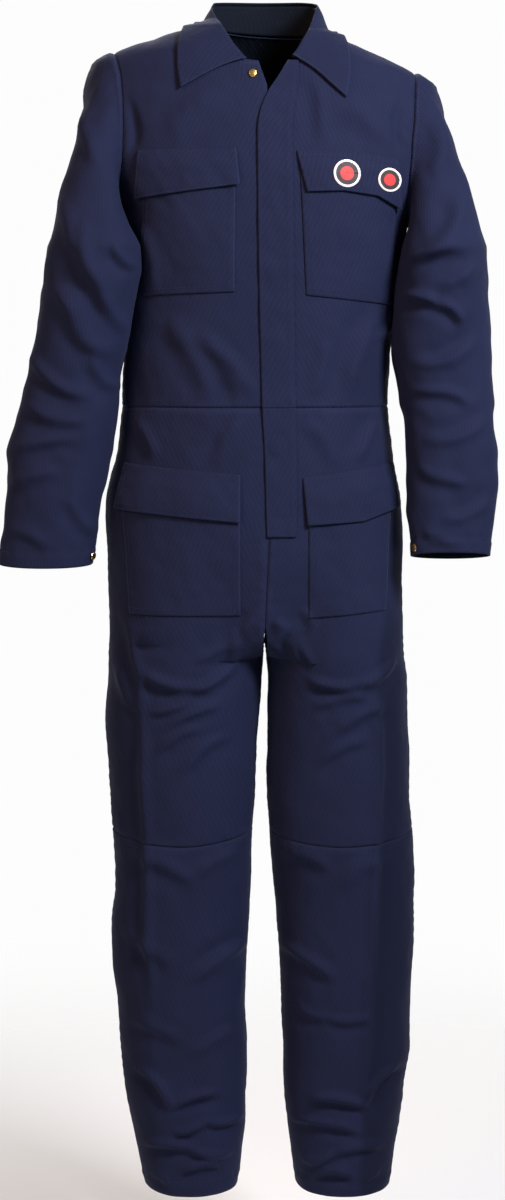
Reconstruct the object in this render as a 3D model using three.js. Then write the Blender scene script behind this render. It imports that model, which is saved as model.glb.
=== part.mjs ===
// Boiler suit, worn and filled out with nobody inside. Thin cloth walls, millimetres, +Z up, front on -Y.
import * as THREE from "three";

// Cloth and seams
const WALL = 1.6;
const TRIM_WALL = 1.4;
const SEAM_GAP = 0.3;
const SLEEVE_LIFT = 0.4;
const LAY_GAP = 0.7;
const FLAP_GAP = 1;

// The shoulders slope down towards the wearer's left
const SHOULDER_TILT = 0.062;
const TILT_FROM = -484;
const TILT_FULL = -60;

// Levels
const Z_NECK = 4;
const Z_SHOULDER_END = -40;
const Z_ARMPIT = -245;
const Z_WAIST = -484;
const Z_WRIST = -540;
const Z_BLEND = -640;
const Z_RISE = -768;
const Z_CROTCH = -815;
const Z_KNEE = -1049;
const Z_HEM = -1545;
const KNEE_DIP = 13;
const BACK_LEAN = -12;

// Grid sizes
const ACROSS = 12;
const NECK_CELLS = 6;
const BODY_ROWS = 8;
const YOKE_ROWS = 10;
const HEAD_ROWS = 7;
const ARM_ROWS = 13;
const HIP_ROWS = 9;
const RISE_ROWS = 4;
const THIGH_ROWS = 5;
const SHIN_ROWS = 11;
const STAND_ROWS = 3;
const LEAF_ROWS = 4;
const COLLAR_CELLS = 28;

// Collar, badges and snaps
const LEAF_START = 4;
const STAND_DROP = 1;
const LEAF_ROLL = 3;
const LEAF_CLEAR = 4.4;
const BADGE_GAP = 0.5;
const BADGE_WALL = 1;
const BADGE_RADIUS = { front: 17, side: 14.5 };
const SNAP_RADIUS = 5.5;
const SNAP_GAP = 0.4;

// How far the sleeves stay away from the torso, above and below the wrist
const ARM_CLEAR = 6;
const HAND_CLEAR = 8;

// Torso sections: height, centre, half width, depth in front and behind, roundness
const TORSO = [
  { z: 16, xc: 0, a: 56, front: 44, back: 52, n: 2.0 },
  { z: 4, xc: 0, a: 80, front: 62, back: 66, n: 2.0 },
  { z: -5, xc: 0, a: 108, front: 73, back: 77, n: 2.05 },
  { z: -15, xc: 0, a: 133, front: 82, back: 87, n: 2.1 },
  { z: -23, xc: 0, a: 153, front: 88, back: 93, n: 2.1 },
  { z: -34, xc: 0, a: 183, front: 94, back: 99, n: 2.15 },
  { z: -40, xc: 0, a: 195, front: 97, back: 102, n: 2.2 },
  { z: -46, xc: 0, a: 205, front: 99, back: 104, n: 2.2 },
  { z: -58, xc: 0, a: 219, front: 103, back: 107, n: 2.2 },
  { z: -66, xc: 0, a: 222, front: 105, back: 109, n: 2.2 },
  { z: -72, xc: 0, a: 224.5, front: 106, back: 110, n: 2.2 },
  { z: -100, xc: 0, a: 230, front: 112, back: 115, n: 2.25 },
  { z: -150, xc: 0, a: 226, front: 119, back: 120, n: 2.3 },
  { z: -200, xc: -2, a: 213, front: 123, back: 122, n: 2.3 },
  { z: -245, xc: -4, a: 192, front: 124, back: 121, n: 2.3 },
  { z: -300, xc: -6, a: 184, front: 122, back: 117, n: 2.3 },
  { z: -360, xc: -8, a: 179, front: 119, back: 111, n: 2.3 },
  { z: -430, xc: -10, a: 176, front: 116, back: 106, n: 2.3 },
  { z: -484, xc: -12, a: 176, front: 114, back: 107, n: 2.3 },
  { z: -529, xc: -13, a: 180, front: 115, back: 113, n: 2.3 },
  { z: -556, xc: -13, a: 184, front: 116, back: 118, n: 2.3 },
  { z: -609, xc: -13.5, a: 196, front: 118, back: 127, n: 2.3 },
  { z: -662, xc: -13, a: 198, front: 118, back: 131, n: 2.3 },
  { z: -743, xc: -12, a: 196, front: 115, back: 127, n: 2.3 },
  { z: -797, xc: -11, a: 199, front: 110, back: 117, n: 2.3 },
  { z: -830, xc: -11, a: 200, front: 107, back: 112, n: 2.3 },
];

// Legs: height, outer and inner side of each leg, depth in front and behind
const LEGS = [
  { z: -640, rightOut: -210, rightIn: 0.6, leftIn: 1.4, leftOut: 185, front: 112, back: 126 },
  { z: -768, rightOut: -206, rightIn: 0.6, leftIn: 1.4, leftOut: 185, front: 108, back: 118 },
  { z: -815, rightOut: -210, rightIn: 0.6, leftIn: 1.4, leftOut: 187, front: 104, back: 112 },
  { z: -851, rightOut: -211, rightIn: -1.5, leftIn: 4, leftOut: 192, front: 102, back: 108 },
  { z: -905, rightOut: -213, rightIn: -6.6, leftIn: 4, leftOut: 193, front: 98, back: 104 },
  { z: -960, rightOut: -210, rightIn: -10.7, leftIn: 3.5, leftOut: 195, front: 94, back: 99 },
  { z: -1015, rightOut: -207, rightIn: -13.4, leftIn: 5.6, leftOut: 196, front: 91, back: 93 },
  { z: -1070, rightOut: -203, rightIn: -16, leftIn: 8.3, leftOut: 202, front: 88, back: 90 },
  { z: -1125, rightOut: -202, rightIn: -17.4, leftIn: 12.4, leftOut: 204, front: 85, back: 89 },
  { z: -1181, rightOut: -207, rightIn: -21.5, leftIn: 17.9, leftOut: 203, front: 83, back: 90 },
  { z: -1237, rightOut: -206, rightIn: -24.3, leftIn: 22, leftOut: 202, front: 81, back: 90 },
  { z: -1293, rightOut: -199, rightIn: -25.6, leftIn: 25, leftOut: 200, front: 79, back: 87 },
  { z: -1349, rightOut: -195, rightIn: -22.6, leftIn: 26, leftOut: 200, front: 77, back: 84 },
  { z: -1405, rightOut: -190, rightIn: -22.9, leftIn: 27, leftOut: 192, front: 75, back: 80 },
  { z: -1462, rightOut: -181, rightIn: -25.7, leftIn: 32, leftOut: 186, front: 73, back: 76 },
  { z: -1519, rightOut: -170, rightIn: -33, leftIn: 40, leftOut: 178, front: 71, back: 73 },
  { z: -1545, rightOut: -163, rightIn: -37, leftIn: 44, leftOut: 173, front: 70, back: 72 },
];
const LEG_ROUND = 2.15;
const ARM_ROUND = 2.3;

// Sleeves: height, inner and outer side, centre in depth, half depth, how far the ring tips up in front
const SLEEVE_RIGHT = [
  { z: -278, inner: -156, outer: -278, y: -62, b: 74, tip: 0 },
  { z: -304, inner: -155, outer: -282, y: -62, b: 72, tip: 0 },
  { z: -349, inner: -165, outer: -289, y: -56, b: 70, tip: 0 },
  { z: -400, inner: -175, outer: -298, y: -48, b: 66, tip: 0 },
  { z: -450, inner: -187, outer: -309, y: -44, b: 62, tip: 0 },
  { z: -500, inner: -192, outer: -323, y: -44, b: 59, tip: 0 },
  { z: -545, inner: -199, outer: -336, y: -46, b: 56, tip: 0 },
  { z: -582, inner: -206, outer: -336, y: -49, b: 51, tip: -1 },
  { z: -609, inner: -213, outer: -338, y: -51, b: 46, tip: -2 },
  { z: -662, inner: -218, outer: -343, y: -55, b: 38, tip: -3 },
  { z: -688, inner: -223, outer: -346, y: -57, b: 34, tip: -4 },
];
const SLEEVE_LEFT = [
  { z: -278, inner: 175, outer: 285, y: -52, b: 74, tip: 0 },
  { z: -304, inner: 172, outer: 287, y: -52, b: 72, tip: 0 },
  { z: -349, inner: 168, outer: 290, y: -48, b: 70, tip: 0 },
  { z: -400, inner: 164, outer: 295, y: -44, b: 66, tip: 0 },
  { z: -450, inner: 172, outer: 297, y: -46, b: 62, tip: 2 },
  { z: -500, inner: 182, outer: 298, y: -52, b: 58, tip: 4 },
  { z: -545, inner: 185, outer: 303, y: -60, b: 54, tip: 6 },
  { z: -582, inner: 185, outer: 304, y: -67, b: 49, tip: 5 },
  { z: -609, inner: 185, outer: 301, y: -72, b: 45, tip: 6 },
  { z: -654, inner: 188, outer: 295, y: -80, b: 38, tip: 7 },
  { z: -676, inner: 190, outer: 293, y: -83, b: 35, tip: 7 },
];

// Seams seen from the front: distance from the middle and height
const ARMHOLE_RIGHT = [
  { x: 192, z: -245 },
  { x: 189, z: -233 },
  { x: 184, z: -214 },
  { x: 181, z: -180 },
  { x: 180, z: -135 },
  { x: 181, z: -102 },
  { x: 184, z: -72 },
  { x: 189, z: -54 },
  { x: 195, z: -40 },
];
const ARMHOLE_LEFT = [
  { x: 192, z: -245 },
  { x: 189, z: -233 },
  { x: 186, z: -214 },
  { x: 186, z: -180 },
  { x: 188, z: -135 },
  { x: 191, z: -104 },
  { x: 192, z: -80 },
  { x: 193, z: -60 },
  { x: 195, z: -40 },
];
const ARMHOLE_BACK = [
  { x: 192, z: -245 },
  { x: 187, z: -234 },
  { x: 184, z: -215 },
  { x: 185, z: -180 },
  { x: 188, z: -135 },
  { x: 190, z: -104 },
  { x: 191, z: -80 },
  { x: 193, z: -58 },
  { x: 195, z: -40 },
];
const EDGE_RIGHT = [
  { z: -47, x: -8 },
  { z: -64, x: -2 },
  { z: -79, x: 3 },
  { z: -110, x: 5 },
  { z: -135, x: 5.7 },
  { z: -222, x: 6.2 },
  { z: -347, x: 8.2 },
  { z: -484, x: 10.7 },
];
const EDGE_LEFT = [
  { z: -43, x: 37 },
  { z: -60, x: 29 },
  { z: -82, x: 19 },
  { z: -110, x: 10 },
  { z: -135, x: 6 },
  { z: -222, x: 6.5 },
  { z: -347, x: 8.5 },
  { z: -484, x: 11 },
];
const NECK_RIGHT = [
  { x: -8, z: -47 },
  { x: -27, z: -46 },
  { x: -48, z: -37 },
  { x: -66, z: -21 },
  { x: -76, z: -6 },
  { x: -80, z: 4 },
];
const NECK_LEFT = [
  { x: 37, z: -43 },
  { x: 44, z: -40 },
  { x: 55, z: -32 },
  { x: 68, z: -19 },
  { x: 76, z: -6 },
  { x: 80, z: 4 },
];
const FLY = [
  { z: -484, x: 10.85 },
  { z: -560, x: 12 },
  { z: -620, x: 12 },
  { z: -655, x: 5.5 },
  { z: -730, x: 4 },
  { z: -782, x: 2.2 },
  { z: -815, x: 1 },
];

// Collar, from the wearer's right end round the back to the left end:
// the fold line at the top of the stand and the free edge of the leaf
const COLLAR = [
  { at: 0.0, rx: -29, ry: -103, rz: -39, lx: -107, ly: -97, lz: -75 },
  { at: 0.07, rx: -42, ry: -86, rz: -22, lx: -109, ly: -82, lz: -50 },
  { at: 0.14, rx: -53, ry: -66, rz: -4, lx: -103, ly: -56, lz: -30 },
  { at: 0.21, rx: -62, ry: -42, rz: 15, lx: -99, ly: -22, lz: -13 },
  { at: 0.28, rx: -70, ry: -8, rz: 31, lx: -95, ly: 22, lz: -6 },
  { at: 0.36, rx: -66, ry: 26, rz: 38, lx: -82, ly: 62, lz: -5 },
  { at: 0.43, rx: -42, ry: 49, rz: 42, lx: -55, ly: 86, lz: -6 },
  { at: 0.5, rx: 0, ry: 59, rz: 43, lx: 0, ly: 95, lz: -8 },
  { at: 0.57, rx: 42, ry: 49, rz: 42, lx: 55, ly: 86, lz: -7 },
  { at: 0.64, rx: 66, ry: 26, rz: 37, lx: 80, ly: 62, lz: -8 },
  { at: 0.72, rx: 69, ry: -8, rz: 30, lx: 93, ly: 22, lz: -12 },
  { at: 0.8, rx: 62, ry: -42, rz: 13, lx: 95, ly: -22, lz: -22 },
  { at: 0.87, rx: 55, ry: -68, rz: -8, lx: 101, ly: -56, lz: -42 },
  { at: 0.94, rx: 47, ry: -87, rz: -24, lx: 110, ly: -82, lz: -66 },
  { at: 1.0, rx: 39, ry: -102, rz: -36, lx: 110, ly: -97, lz: -91 },
];

// What is sewn on the front, as seen from the front: top and bottom edges from left to right
const CHEST_POCKET_RIGHT = { top: [[-157, -190], [-37, -186]], bottom: [[-154, -341], [-38, -337]] };
const CHEST_FLAP_RIGHT = { top: [[-161, -158], [-36, -158]], bottom: [[-163, -218], [-31, -203]] };
const CHEST_POCKET_LEFT = { top: [[45, -190], [168, -196]], bottom: [[53, -341], [164, -352]] };
const CHEST_FLAP_LEFT = {
  top: [[40, -161], [100, -161], [140, -164], [170, -170]],
  bottom: [[53, -212], [100, -210], [145, -215], [172, -230]],
};
const HIP_POCKET_RIGHT = { top: [[-186, -598], [-31, -606]], bottom: [[-175, -752], [-31, -752]] };
const HIP_FLAP_RIGHT = { top: [[-182, -556], [-31, -569]], bottom: [[-192, -616], [-31, -630]] };
const HIP_POCKET_LEFT = { top: [[57, -606], [166, -598]], bottom: [[58, -755], [158, -747]] };
const HIP_FLAP_LEFT = {
  top: [[49, -573], [142, -561], [167, -557]],
  bottom: [[55, -634], [128, -630], [172, -614]],
};
const PLACKET_BODICE = [
  { z: -47, left: 29, right: 43 },
  { z: -64, left: 19, right: 42 },
  { z: -86, left: 4.5, right: 40 },
  { z: -113, left: -6, right: 36 },
  { z: -135, left: -9, right: 34.5 },
  { z: -222, left: -8.5, right: 35.7 },
  { z: -347, left: -6.5, right: 37.3 },
  { z: -483.5, left: -3, right: 40 },
];
const PLACKET_TROUSER = [
  { z: -484.5, left: -3, right: 40 },
  { z: -537, left: 0, right: 41 },
  { z: -601, left: 2, right: 41.5 },
  { z: -649, left: 3.2, right: 41 },
];

// Slope at each row of a curve that keeps between its rows.
function slopes(xs, ys) {
  const d = [];
  for (let i = 0; i < xs.length - 1; i++) d.push((ys[i + 1] - ys[i]) / (xs[i + 1] - xs[i]));
  const m = [d[0]];
  for (let i = 1; i < d.length; i++) {
    const turns = d[i - 1] * d[i] <= 0;
    m.push(turns ? 0 : (2 * d[i - 1] * d[i]) / (d[i - 1] + d[i]));
  }
  m.push(d[d.length - 1]);
  return m;
}

const curves = new Map();

// Smooth reading of one column of a table, kept without overshoot.
function read(table, key, at, name) {
  if (!curves.has(table)) curves.set(table, new Map());
  const kept = curves.get(table);
  const id = `${key} ${name}`;
  if (!kept.has(id)) {
    const rows = [...table].sort((p, q) => p[key] - q[key]);
    const xs = rows.map((r) => r[key]);
    const ys = rows.map((r) => r[name]);
    kept.set(id, { xs, ys, m: slopes(xs, ys) });
  }
  const { xs, ys, m } = kept.get(id);
  if (at <= xs[0]) return ys[0];
  if (at >= xs[xs.length - 1]) return ys[ys.length - 1];
  let i = 0;
  while (at > xs[i + 1]) i++;
  const h = xs[i + 1] - xs[i];
  const t = (at - xs[i]) / h;
  const rest = 1 - t;
  return (
    ys[i] * rest * rest * (1 + 2 * t) +
    ys[i + 1] * t * t * (3 - 2 * t) +
    h * (m[i] * t * rest * rest - m[i + 1] * t * t * rest)
  );
}

// Point at a share of the length of a polyline of {x, z} rows.
function along(rows, share) {
  const lengths = rows.slice(1).map((r, i) => Math.hypot(r.x - rows[i].x, r.z - rows[i].z));
  let left = share * lengths.reduce((s, v) => s + v, 0);
  for (let i = 0; i < lengths.length; i++) {
    if (left <= lengths[i] || i === lengths.length - 1) {
      const t = Math.min(1, left / lengths[i]);
      return {
        x: THREE.MathUtils.lerp(rows[i].x, rows[i + 1].x, t),
        z: THREE.MathUtils.lerp(rows[i].z, rows[i + 1].z, t),
      };
    }
    left -= lengths[i];
  }
  return rows[0];
}

function tiltAt(x, z) {
  const w = THREE.MathUtils.smoothstep(z, TILT_FROM, TILT_FULL);
  return -SHOULDER_TILT * x * w;
}

// Torso surface over a place in the front view; side is -1 in front and 1 behind.
function torso(x, z, side) {
  const n = read(TORSO, "z", z, "n");
  const q = Math.min(1, Math.abs((x - read(TORSO, "z", z, "xc")) / read(TORSO, "z", z, "a")));
  const depth = read(TORSO, "z", z, side < 0 ? "front" : "back");
  const y = side * depth * Math.pow(1 - Math.pow(q, n), 1 / n);
  return new THREE.Vector3(x, y, z + tiltAt(x, z));
}

// How far outside the torso a point is, about in millimetres, and the way out.
function torsoDistance(p) {
  const level = (v) => {
    const z = v.z - tiltAt(v.x, v.z);
    const n = read(TORSO, "z", z, "n");
    const q = Math.abs((v.x - read(TORSO, "z", z, "xc")) / read(TORSO, "z", z, "a"));
    const d = Math.abs(v.y / read(TORSO, "z", z, v.y < 0 ? "front" : "back"));
    return Math.pow(Math.pow(q, n) + Math.pow(d, n), 1 / n) - 1;
  };
  const h = 0.5;
  const at = level(p);
  const way = new THREE.Vector3(
    level(p.clone().setX(p.x + h)) - level(p.clone().setX(p.x - h)),
    level(p.clone().setY(p.y + h)) - level(p.clone().setY(p.y - h)),
    level(p.clone().setZ(p.z + h)) - level(p.clone().setZ(p.z - h)),
  ).divideScalar(2 * h);
  const steep = Math.max(way.length(), 1e-4);
  return { gap: at / steep, way: way.divideScalar(steep) };
}

// Pushes a point outwards until it is clear of the torso.
function keepClear(p, clear) {
  for (let i = 0; i < 8; i++) {
    const { gap, way } = torsoDistance(p);
    if (gap >= clear) break;
    way.z *= 0.3;
    p.addScaledVector(way.normalize(), Math.min(12, clear - gap));
  }
  return p;
}

// Rows and columns of points, each placed by its share across, its share up and its numbers.
function grid(rows, columns, place) {
  const out = [];
  for (let r = 0; r <= rows; r++) {
    const line = [];
    for (let c = 0; c <= columns; c++) line.push(place(c / columns, r / rows, c, r));
    out.push(line);
  }
  return out;
}

function gridNormals(points, closed) {
  const rows = points.length;
  const cols = points[0].length;
  return points.map((line, r) =>
    line.map((p, c) => {
      const up = points[Math.min(rows - 1, r + 1)][c].clone().sub(points[Math.max(0, r - 1)][c]);
      const next = closed ? (c + 1) % cols : Math.min(cols - 1, c + 1);
      const last = closed ? (c + cols - 1) % cols : Math.max(0, c - 1);
      const over = line[next].clone().sub(line[last]);
      return over.cross(up).normalize();
    }),
  );
}

// Panels that meet share the way their wall goes at the seam, so that the walls mitre.
// Where they fold back on each other, as under the arm, each keeps its own.
function weldNormals(panels) {
  const shared = new Map();
  const id = (p) => [p.x, p.y, p.z].map((v) => Math.round(v * 20)).join();
  const edge = (panel, visit) => {
    const rows = panel.points.length;
    const cols = panel.points[0].length;
    for (let r = 0; r < rows; r++) {
      for (let c = 0; c < cols; c++) {
        const rim = r === 0 || r === rows - 1 || (!panel.closed && (c === 0 || c === cols - 1));
        if (rim) visit(panel.points[r][c], panel.normals[r][c]);
      }
    }
  };
  for (const panel of panels) {
    edge(panel, (p, n) => {
      const k = id(p);
      if (!shared.has(k)) shared.set(k, []);
      shared.get(k).push(n.clone());
    });
  }
  for (const panel of panels) {
    edge(panel, (p, n) => {
      const all = shared.get(id(p));
      const together = all.every((m) => m.dot(n) > 0.1);
      if (together) n.copy(all.reduce((sum, m) => sum.add(m), new THREE.Vector3())).normalize();
    });
  }
}

// Draws the named edges of a panel back by half a seam.
function trim(points, closed, sides) {
  const half = SEAM_GAP / 2;
  const rows = points.length;
  const cols = points[0].length;
  const step = (from, to) => to.clone().sub(from).setLength(half);
  const moves = [];
  for (let r = 0; r < rows; r++) {
    for (let c = 0; c < cols; c++) {
      const p = points[r][c];
      const move = new THREE.Vector3();
      if (sides.bottom && r === 0) move.add(step(p, points[1][c]));
      if (sides.lift && r === 0) move.addScaledVector(torsoDistance(p).way, sides.lift);
      if (sides.top && r === rows - 1) move.add(step(p, points[rows - 2][c]));
      if (!closed && sides.start && c === 0) move.add(step(p, points[r][1]));
      if (!closed && sides.end && c === cols - 1) move.add(step(p, points[r][cols - 2]));
      moves.push([p, move]);
    }
  }
  for (const [p, move] of moves) p.add(move);
}

// One closed wall between two grids of the same size.
function shell(outer, inner, closed) {
  const rows = outer.length;
  const cols = outer[0].length;
  const positions = [];
  const index = [];
  for (const p of [outer, inner].flat(2)) positions.push(p.x, p.y, p.z);
  const at = (s, r, c) => s * rows * cols + r * cols + (c % cols);
  const quad = (a, b, c, d) => index.push(a, b, c, a, c, d);
  const last = closed ? cols : cols - 1;
  for (let r = 0; r < rows - 1; r++) {
    for (let c = 0; c < last; c++) {
      quad(at(0, r, c), at(0, r, c + 1), at(0, r + 1, c + 1), at(0, r + 1, c));
      quad(at(1, r, c), at(1, r + 1, c), at(1, r + 1, c + 1), at(1, r, c + 1));
    }
    if (!closed) {
      quad(at(0, r, 0), at(0, r + 1, 0), at(1, r + 1, 0), at(1, r, 0));
      quad(at(0, r, last), at(1, r, last), at(1, r + 1, last), at(0, r + 1, last));
    }
  }
  for (let c = 0; c < last; c++) {
    quad(at(0, 0, c), at(1, 0, c), at(1, 0, c + 1), at(0, 0, c + 1));
    quad(at(0, rows - 1, c), at(0, rows - 1, c + 1), at(1, rows - 1, c + 1), at(1, rows - 1, c));
  }
  return outward(positions, index);
}

// Geometry whose faces point out, whichever way its rows ran.
function outward(positions, index) {
  const a = new THREE.Vector3();
  const b = new THREE.Vector3();
  const c = new THREE.Vector3();
  let volume = 0;
  for (let i = 0; i < index.length; i += 3) {
    a.fromArray(positions, index[i] * 3);
    b.fromArray(positions, index[i + 1] * 3);
    c.fromArray(positions, index[i + 2] * 3);
    volume += a.dot(b.cross(c));
  }
  if (volume < 0) index.reverse();
  const geometry = new THREE.BufferGeometry();
  geometry.setAttribute("position", new THREE.Float32BufferAttribute(positions, 3));
  geometry.setIndex(index);
  geometry.computeVertexNormals();
  return geometry;
}

function offset(points, normals, by) {
  return points.map((line, r) => line.map((p, c) => p.clone().addScaledVector(normals[r][c], by)));
}

// Bodice

// Place across a section, from its edge at the middle (share 0) to the side (share 1), evenly in angle.
function sectionX(z, share, sign, edge) {
  const xc = read(TORSO, "z", z, "xc");
  const a = read(TORSO, "z", z, "a");
  const n = read(TORSO, "z", z, "n");
  const q = (sign * (edge - xc)) / a;
  const start = Math.acos(Math.sign(q) * Math.pow(Math.abs(q), n / 2));
  const c = Math.cos(start * (1 - share));
  return xc + sign * a * Math.sign(c) * Math.pow(Math.abs(c), 2 / n);
}

// Shoulder seam and neckline read from the middle outward.
function topAt(neck, sign, c) {
  if (c <= NECK_CELLS) return along(neck, 1 - Math.pow(1 - c / NECK_CELLS, 1.6));
  const share = (c - NECK_CELLS) / (ACROSS - NECK_CELLS);
  const z = THREE.MathUtils.lerp(Z_NECK, Z_SHOULDER_END, Math.pow(share, 1.25));
  return { x: sign * read(TORSO, "z", z, "a"), z };
}

// Above the armpit the rows bend from the straight chest line up to the neck and the shoulder seam.
function yokePoint(s, t, c, sign, side, neck, edgeX, armhole) {
  const v = 1 - Math.pow(1 - t, 1.9);
  const bottomEdge = edgeX(Z_ARMPIT);
  const bottom = { x: sectionX(Z_ARMPIT, s, sign, bottomEdge), z: Z_ARMPIT };
  const top = topAt(neck, sign, c);
  const zTop = topAt(neck, sign, 0).z;
  const zEdge = THREE.MathUtils.lerp(Z_ARMPIT, zTop, v);
  const start = { x: edgeX(zEdge), z: zEdge };
  const hole = along(armhole, t);
  const end = { x: read(TORSO, "z", hole.z, "xc") + sign * hole.x, z: hole.z };
  const low = [{ x: bottomEdge, z: Z_ARMPIT }, { x: bottomAt(sign), z: Z_ARMPIT }];
  const high = [topAt(neck, sign, 0), topAt(neck, sign, ACROSS)];
  const blend = (k) =>
    THREE.MathUtils.lerp(bottom[k], top[k], v) +
    (1 - s) ** 3 * (start[k] - THREE.MathUtils.lerp(low[0][k], high[0][k], v)) +
    s ** 3 * (end[k] - THREE.MathUtils.lerp(low[1][k], high[1][k], v));
  return torso(blend("x"), blend("z"), side);
}

function bottomAt(sign) {
  return read(TORSO, "z", Z_ARMPIT, "xc") + sign * read(TORSO, "z", Z_ARMPIT, "a");
}

function bodiceHalf(sign, side, neck, edgeX, armhole) {
  return grid(BODY_ROWS + YOKE_ROWS, ACROSS, (s, unused, c, r) => {
    if (r <= BODY_ROWS) {
      const z = THREE.MathUtils.lerp(Z_WAIST, Z_ARMPIT, r / BODY_ROWS);
      return torso(sectionX(z, s, sign, edgeX(z)), z, side);
    }
    return yokePoint(s, (r - BODY_ROWS) / YOKE_ROWS, c, sign, side, neck, edgeX, armhole);
  });
}

function backNeck(sign) {
  return [
    { x: 0, z: Z_NECK },
    { x: sign * 30, z: Z_NECK },
    { x: sign * 58, z: Z_NECK },
    { x: sign * 80, z: Z_NECK },
  ];
}

function bodiceFront(sign) {
  const edge = sign < 0 ? EDGE_RIGHT : EDGE_LEFT;
  const neck = sign < 0 ? NECK_RIGHT : NECK_LEFT;
  const hole = sign < 0 ? ARMHOLE_RIGHT : ARMHOLE_LEFT;
  return bodiceHalf(sign, -1, neck, (z) => read(edge, "z", z, "x"), hole);
}

// Middle of the back, which leans towards the wearer's right below the armpits.
function backMiddle(z) {
  const level = THREE.MathUtils.clamp(z, Z_WAIST, Z_ARMPIT);
  return THREE.MathUtils.mapLinear(level, Z_ARMPIT, Z_WAIST, 0, BACK_LEAN);
}

function bodiceBack() {
  const right = bodiceHalf(-1, 1, backNeck(-1), backMiddle, ARMHOLE_BACK);
  const left = bodiceHalf(1, 1, backNeck(1), backMiddle, ARMHOLE_BACK);
  return right.map((line, r) => [...line.slice().reverse(), ...left[r].slice(1)]);
}

// Trousers

function legSides(z, sign) {
  return {
    inner: read(LEGS, "z", z, sign < 0 ? "rightIn" : "leftIn"),
    outer: read(LEGS, "z", z, sign < 0 ? "rightOut" : "leftOut"),
  };
}

function legDepth(x, z, sign, side) {
  const { inner, outer } = legSides(z, sign);
  const q = Math.min(1, Math.abs((2 * x - inner - outer) / (outer - inner)));
  const depth = read(LEGS, "z", z, side < 0 ? "front" : "back");
  return side * depth * Math.pow(1 - Math.pow(q, LEG_ROUND), 1 / LEG_ROUND);
}

function legPoint(z, share, sign, side) {
  const { inner, outer } = legSides(z, sign);
  const middle = (inner + outer) / 2;
  const c = Math.cos(Math.PI * share);
  const x = middle + (inner - middle) * Math.sign(c) * Math.pow(Math.abs(c), 2 / LEG_ROUND);
  const depth = read(LEGS, "z", z, side < 0 ? "front" : "back");
  return new THREE.Vector3(x, side * depth * Math.pow(Math.sin(Math.PI * share), 2 / LEG_ROUND), z);
}

// Surface of the trunk over a place in the front view, which turns from the torso into one leg.
function trunk(x, z, sign, side) {
  const p = torso(x, z, side);
  if (z >= Z_BLEND) return p;
  const down = Math.max(0, (Z_RISE - z) / (Z_RISE - Z_CROTCH));
  const curve = 1 - Math.sqrt(1 - down * down);
  const soft = THREE.MathUtils.smoothstep(-z, -Z_BLEND, -Z_CROTCH);
  const { inner, outer } = legSides(z, sign);
  const away = THREE.MathUtils.smoothstep((2 * (x - inner)) / (outer - inner), 0, 1);
  const toLeg = THREE.MathUtils.lerp(curve, soft, away);
  p.y = THREE.MathUtils.lerp(p.y, legDepth(x, z, sign, side), toLeg);
  return p;
}

function trouserPoint(z, share, sign, side) {
  if (z <= Z_CROTCH) return legPoint(z, share, sign, side);
  const middle = side < 0 ? read(FLY, "z", z, "x") + sign * 0.15 : backMiddle(z);
  const soft = THREE.MathUtils.smoothstep(-z, -Z_BLEND, -Z_CROTCH);
  const onTorso = sectionX(z, share, sign, middle);
  const onLeg = legPoint(z, share, sign, side).x;
  return trunk(THREE.MathUtils.lerp(onTorso, onLeg, soft), z, sign, side);
}

function steps(from, to, count) {
  return Array.from({ length: count }, (unused, i) => THREE.MathUtils.lerp(from, to, i / count));
}

// Heights of the rows, from the waist down to the knee and from the knee down to the hem.
function upperHeights() {
  const rise = Array.from({ length: RISE_ROWS }, (unused, i) => {
    const w = i / RISE_ROWS;
    return THREE.MathUtils.lerp(Z_RISE, Z_CROTCH, Math.sqrt(1 - (1 - w) * (1 - w)));
  });
  return [...steps(Z_WAIST, Z_RISE, HIP_ROWS), ...rise, ...steps(Z_CROTCH, Z_KNEE, THIGH_ROWS), Z_KNEE];
}

function lowerHeights() {
  return [...steps(Z_KNEE, Z_HEM, SHIN_ROWS), Z_HEM];
}

// The seam at the knee dips in the middle, and the rows near it go with it.
function kneeDip(z, share) {
  const near = Math.max(0, 1 - Math.abs(z - Z_KNEE) / 120);
  return -KNEE_DIP * near * Math.sin(Math.PI * share) ** 2;
}

function trouserPanel(heights, sign, side) {
  return grid(heights.length - 1, ACROSS, (s, unused, c, r) => {
    const z = heights[r];
    const p = trouserPoint(z, s, sign, side);
    p.z += side < 0 ? kneeDip(z, s) : 0;
    return p;
  });
}

// Sleeves

function ringPoint(table, z, angle) {
  const inner = read(table, "z", z, "inner");
  const outer = read(table, "z", z, "outer");
  const middle = (inner + outer) / 2;
  const across = Math.sign(Math.cos(angle)) * Math.pow(Math.abs(Math.cos(angle)), 2 / ARM_ROUND);
  const forward = Math.sign(Math.sin(angle)) * Math.pow(Math.abs(Math.sin(angle)), 2 / ARM_ROUND);
  const x = middle + (inner - middle) * across;
  const y = read(table, "z", z, "y") - read(table, "z", z, "b") * forward;
  const tip = read(table, "z", z, "tip") * Math.sin(angle);
  return new THREE.Vector3(x, y, z + tip);
}

function sleevePoint(table, z, angle) {
  return keepClear(ringPoint(table, z, angle), z > Z_WRIST ? ARM_CLEAR : HAND_CLEAR);
}

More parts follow.
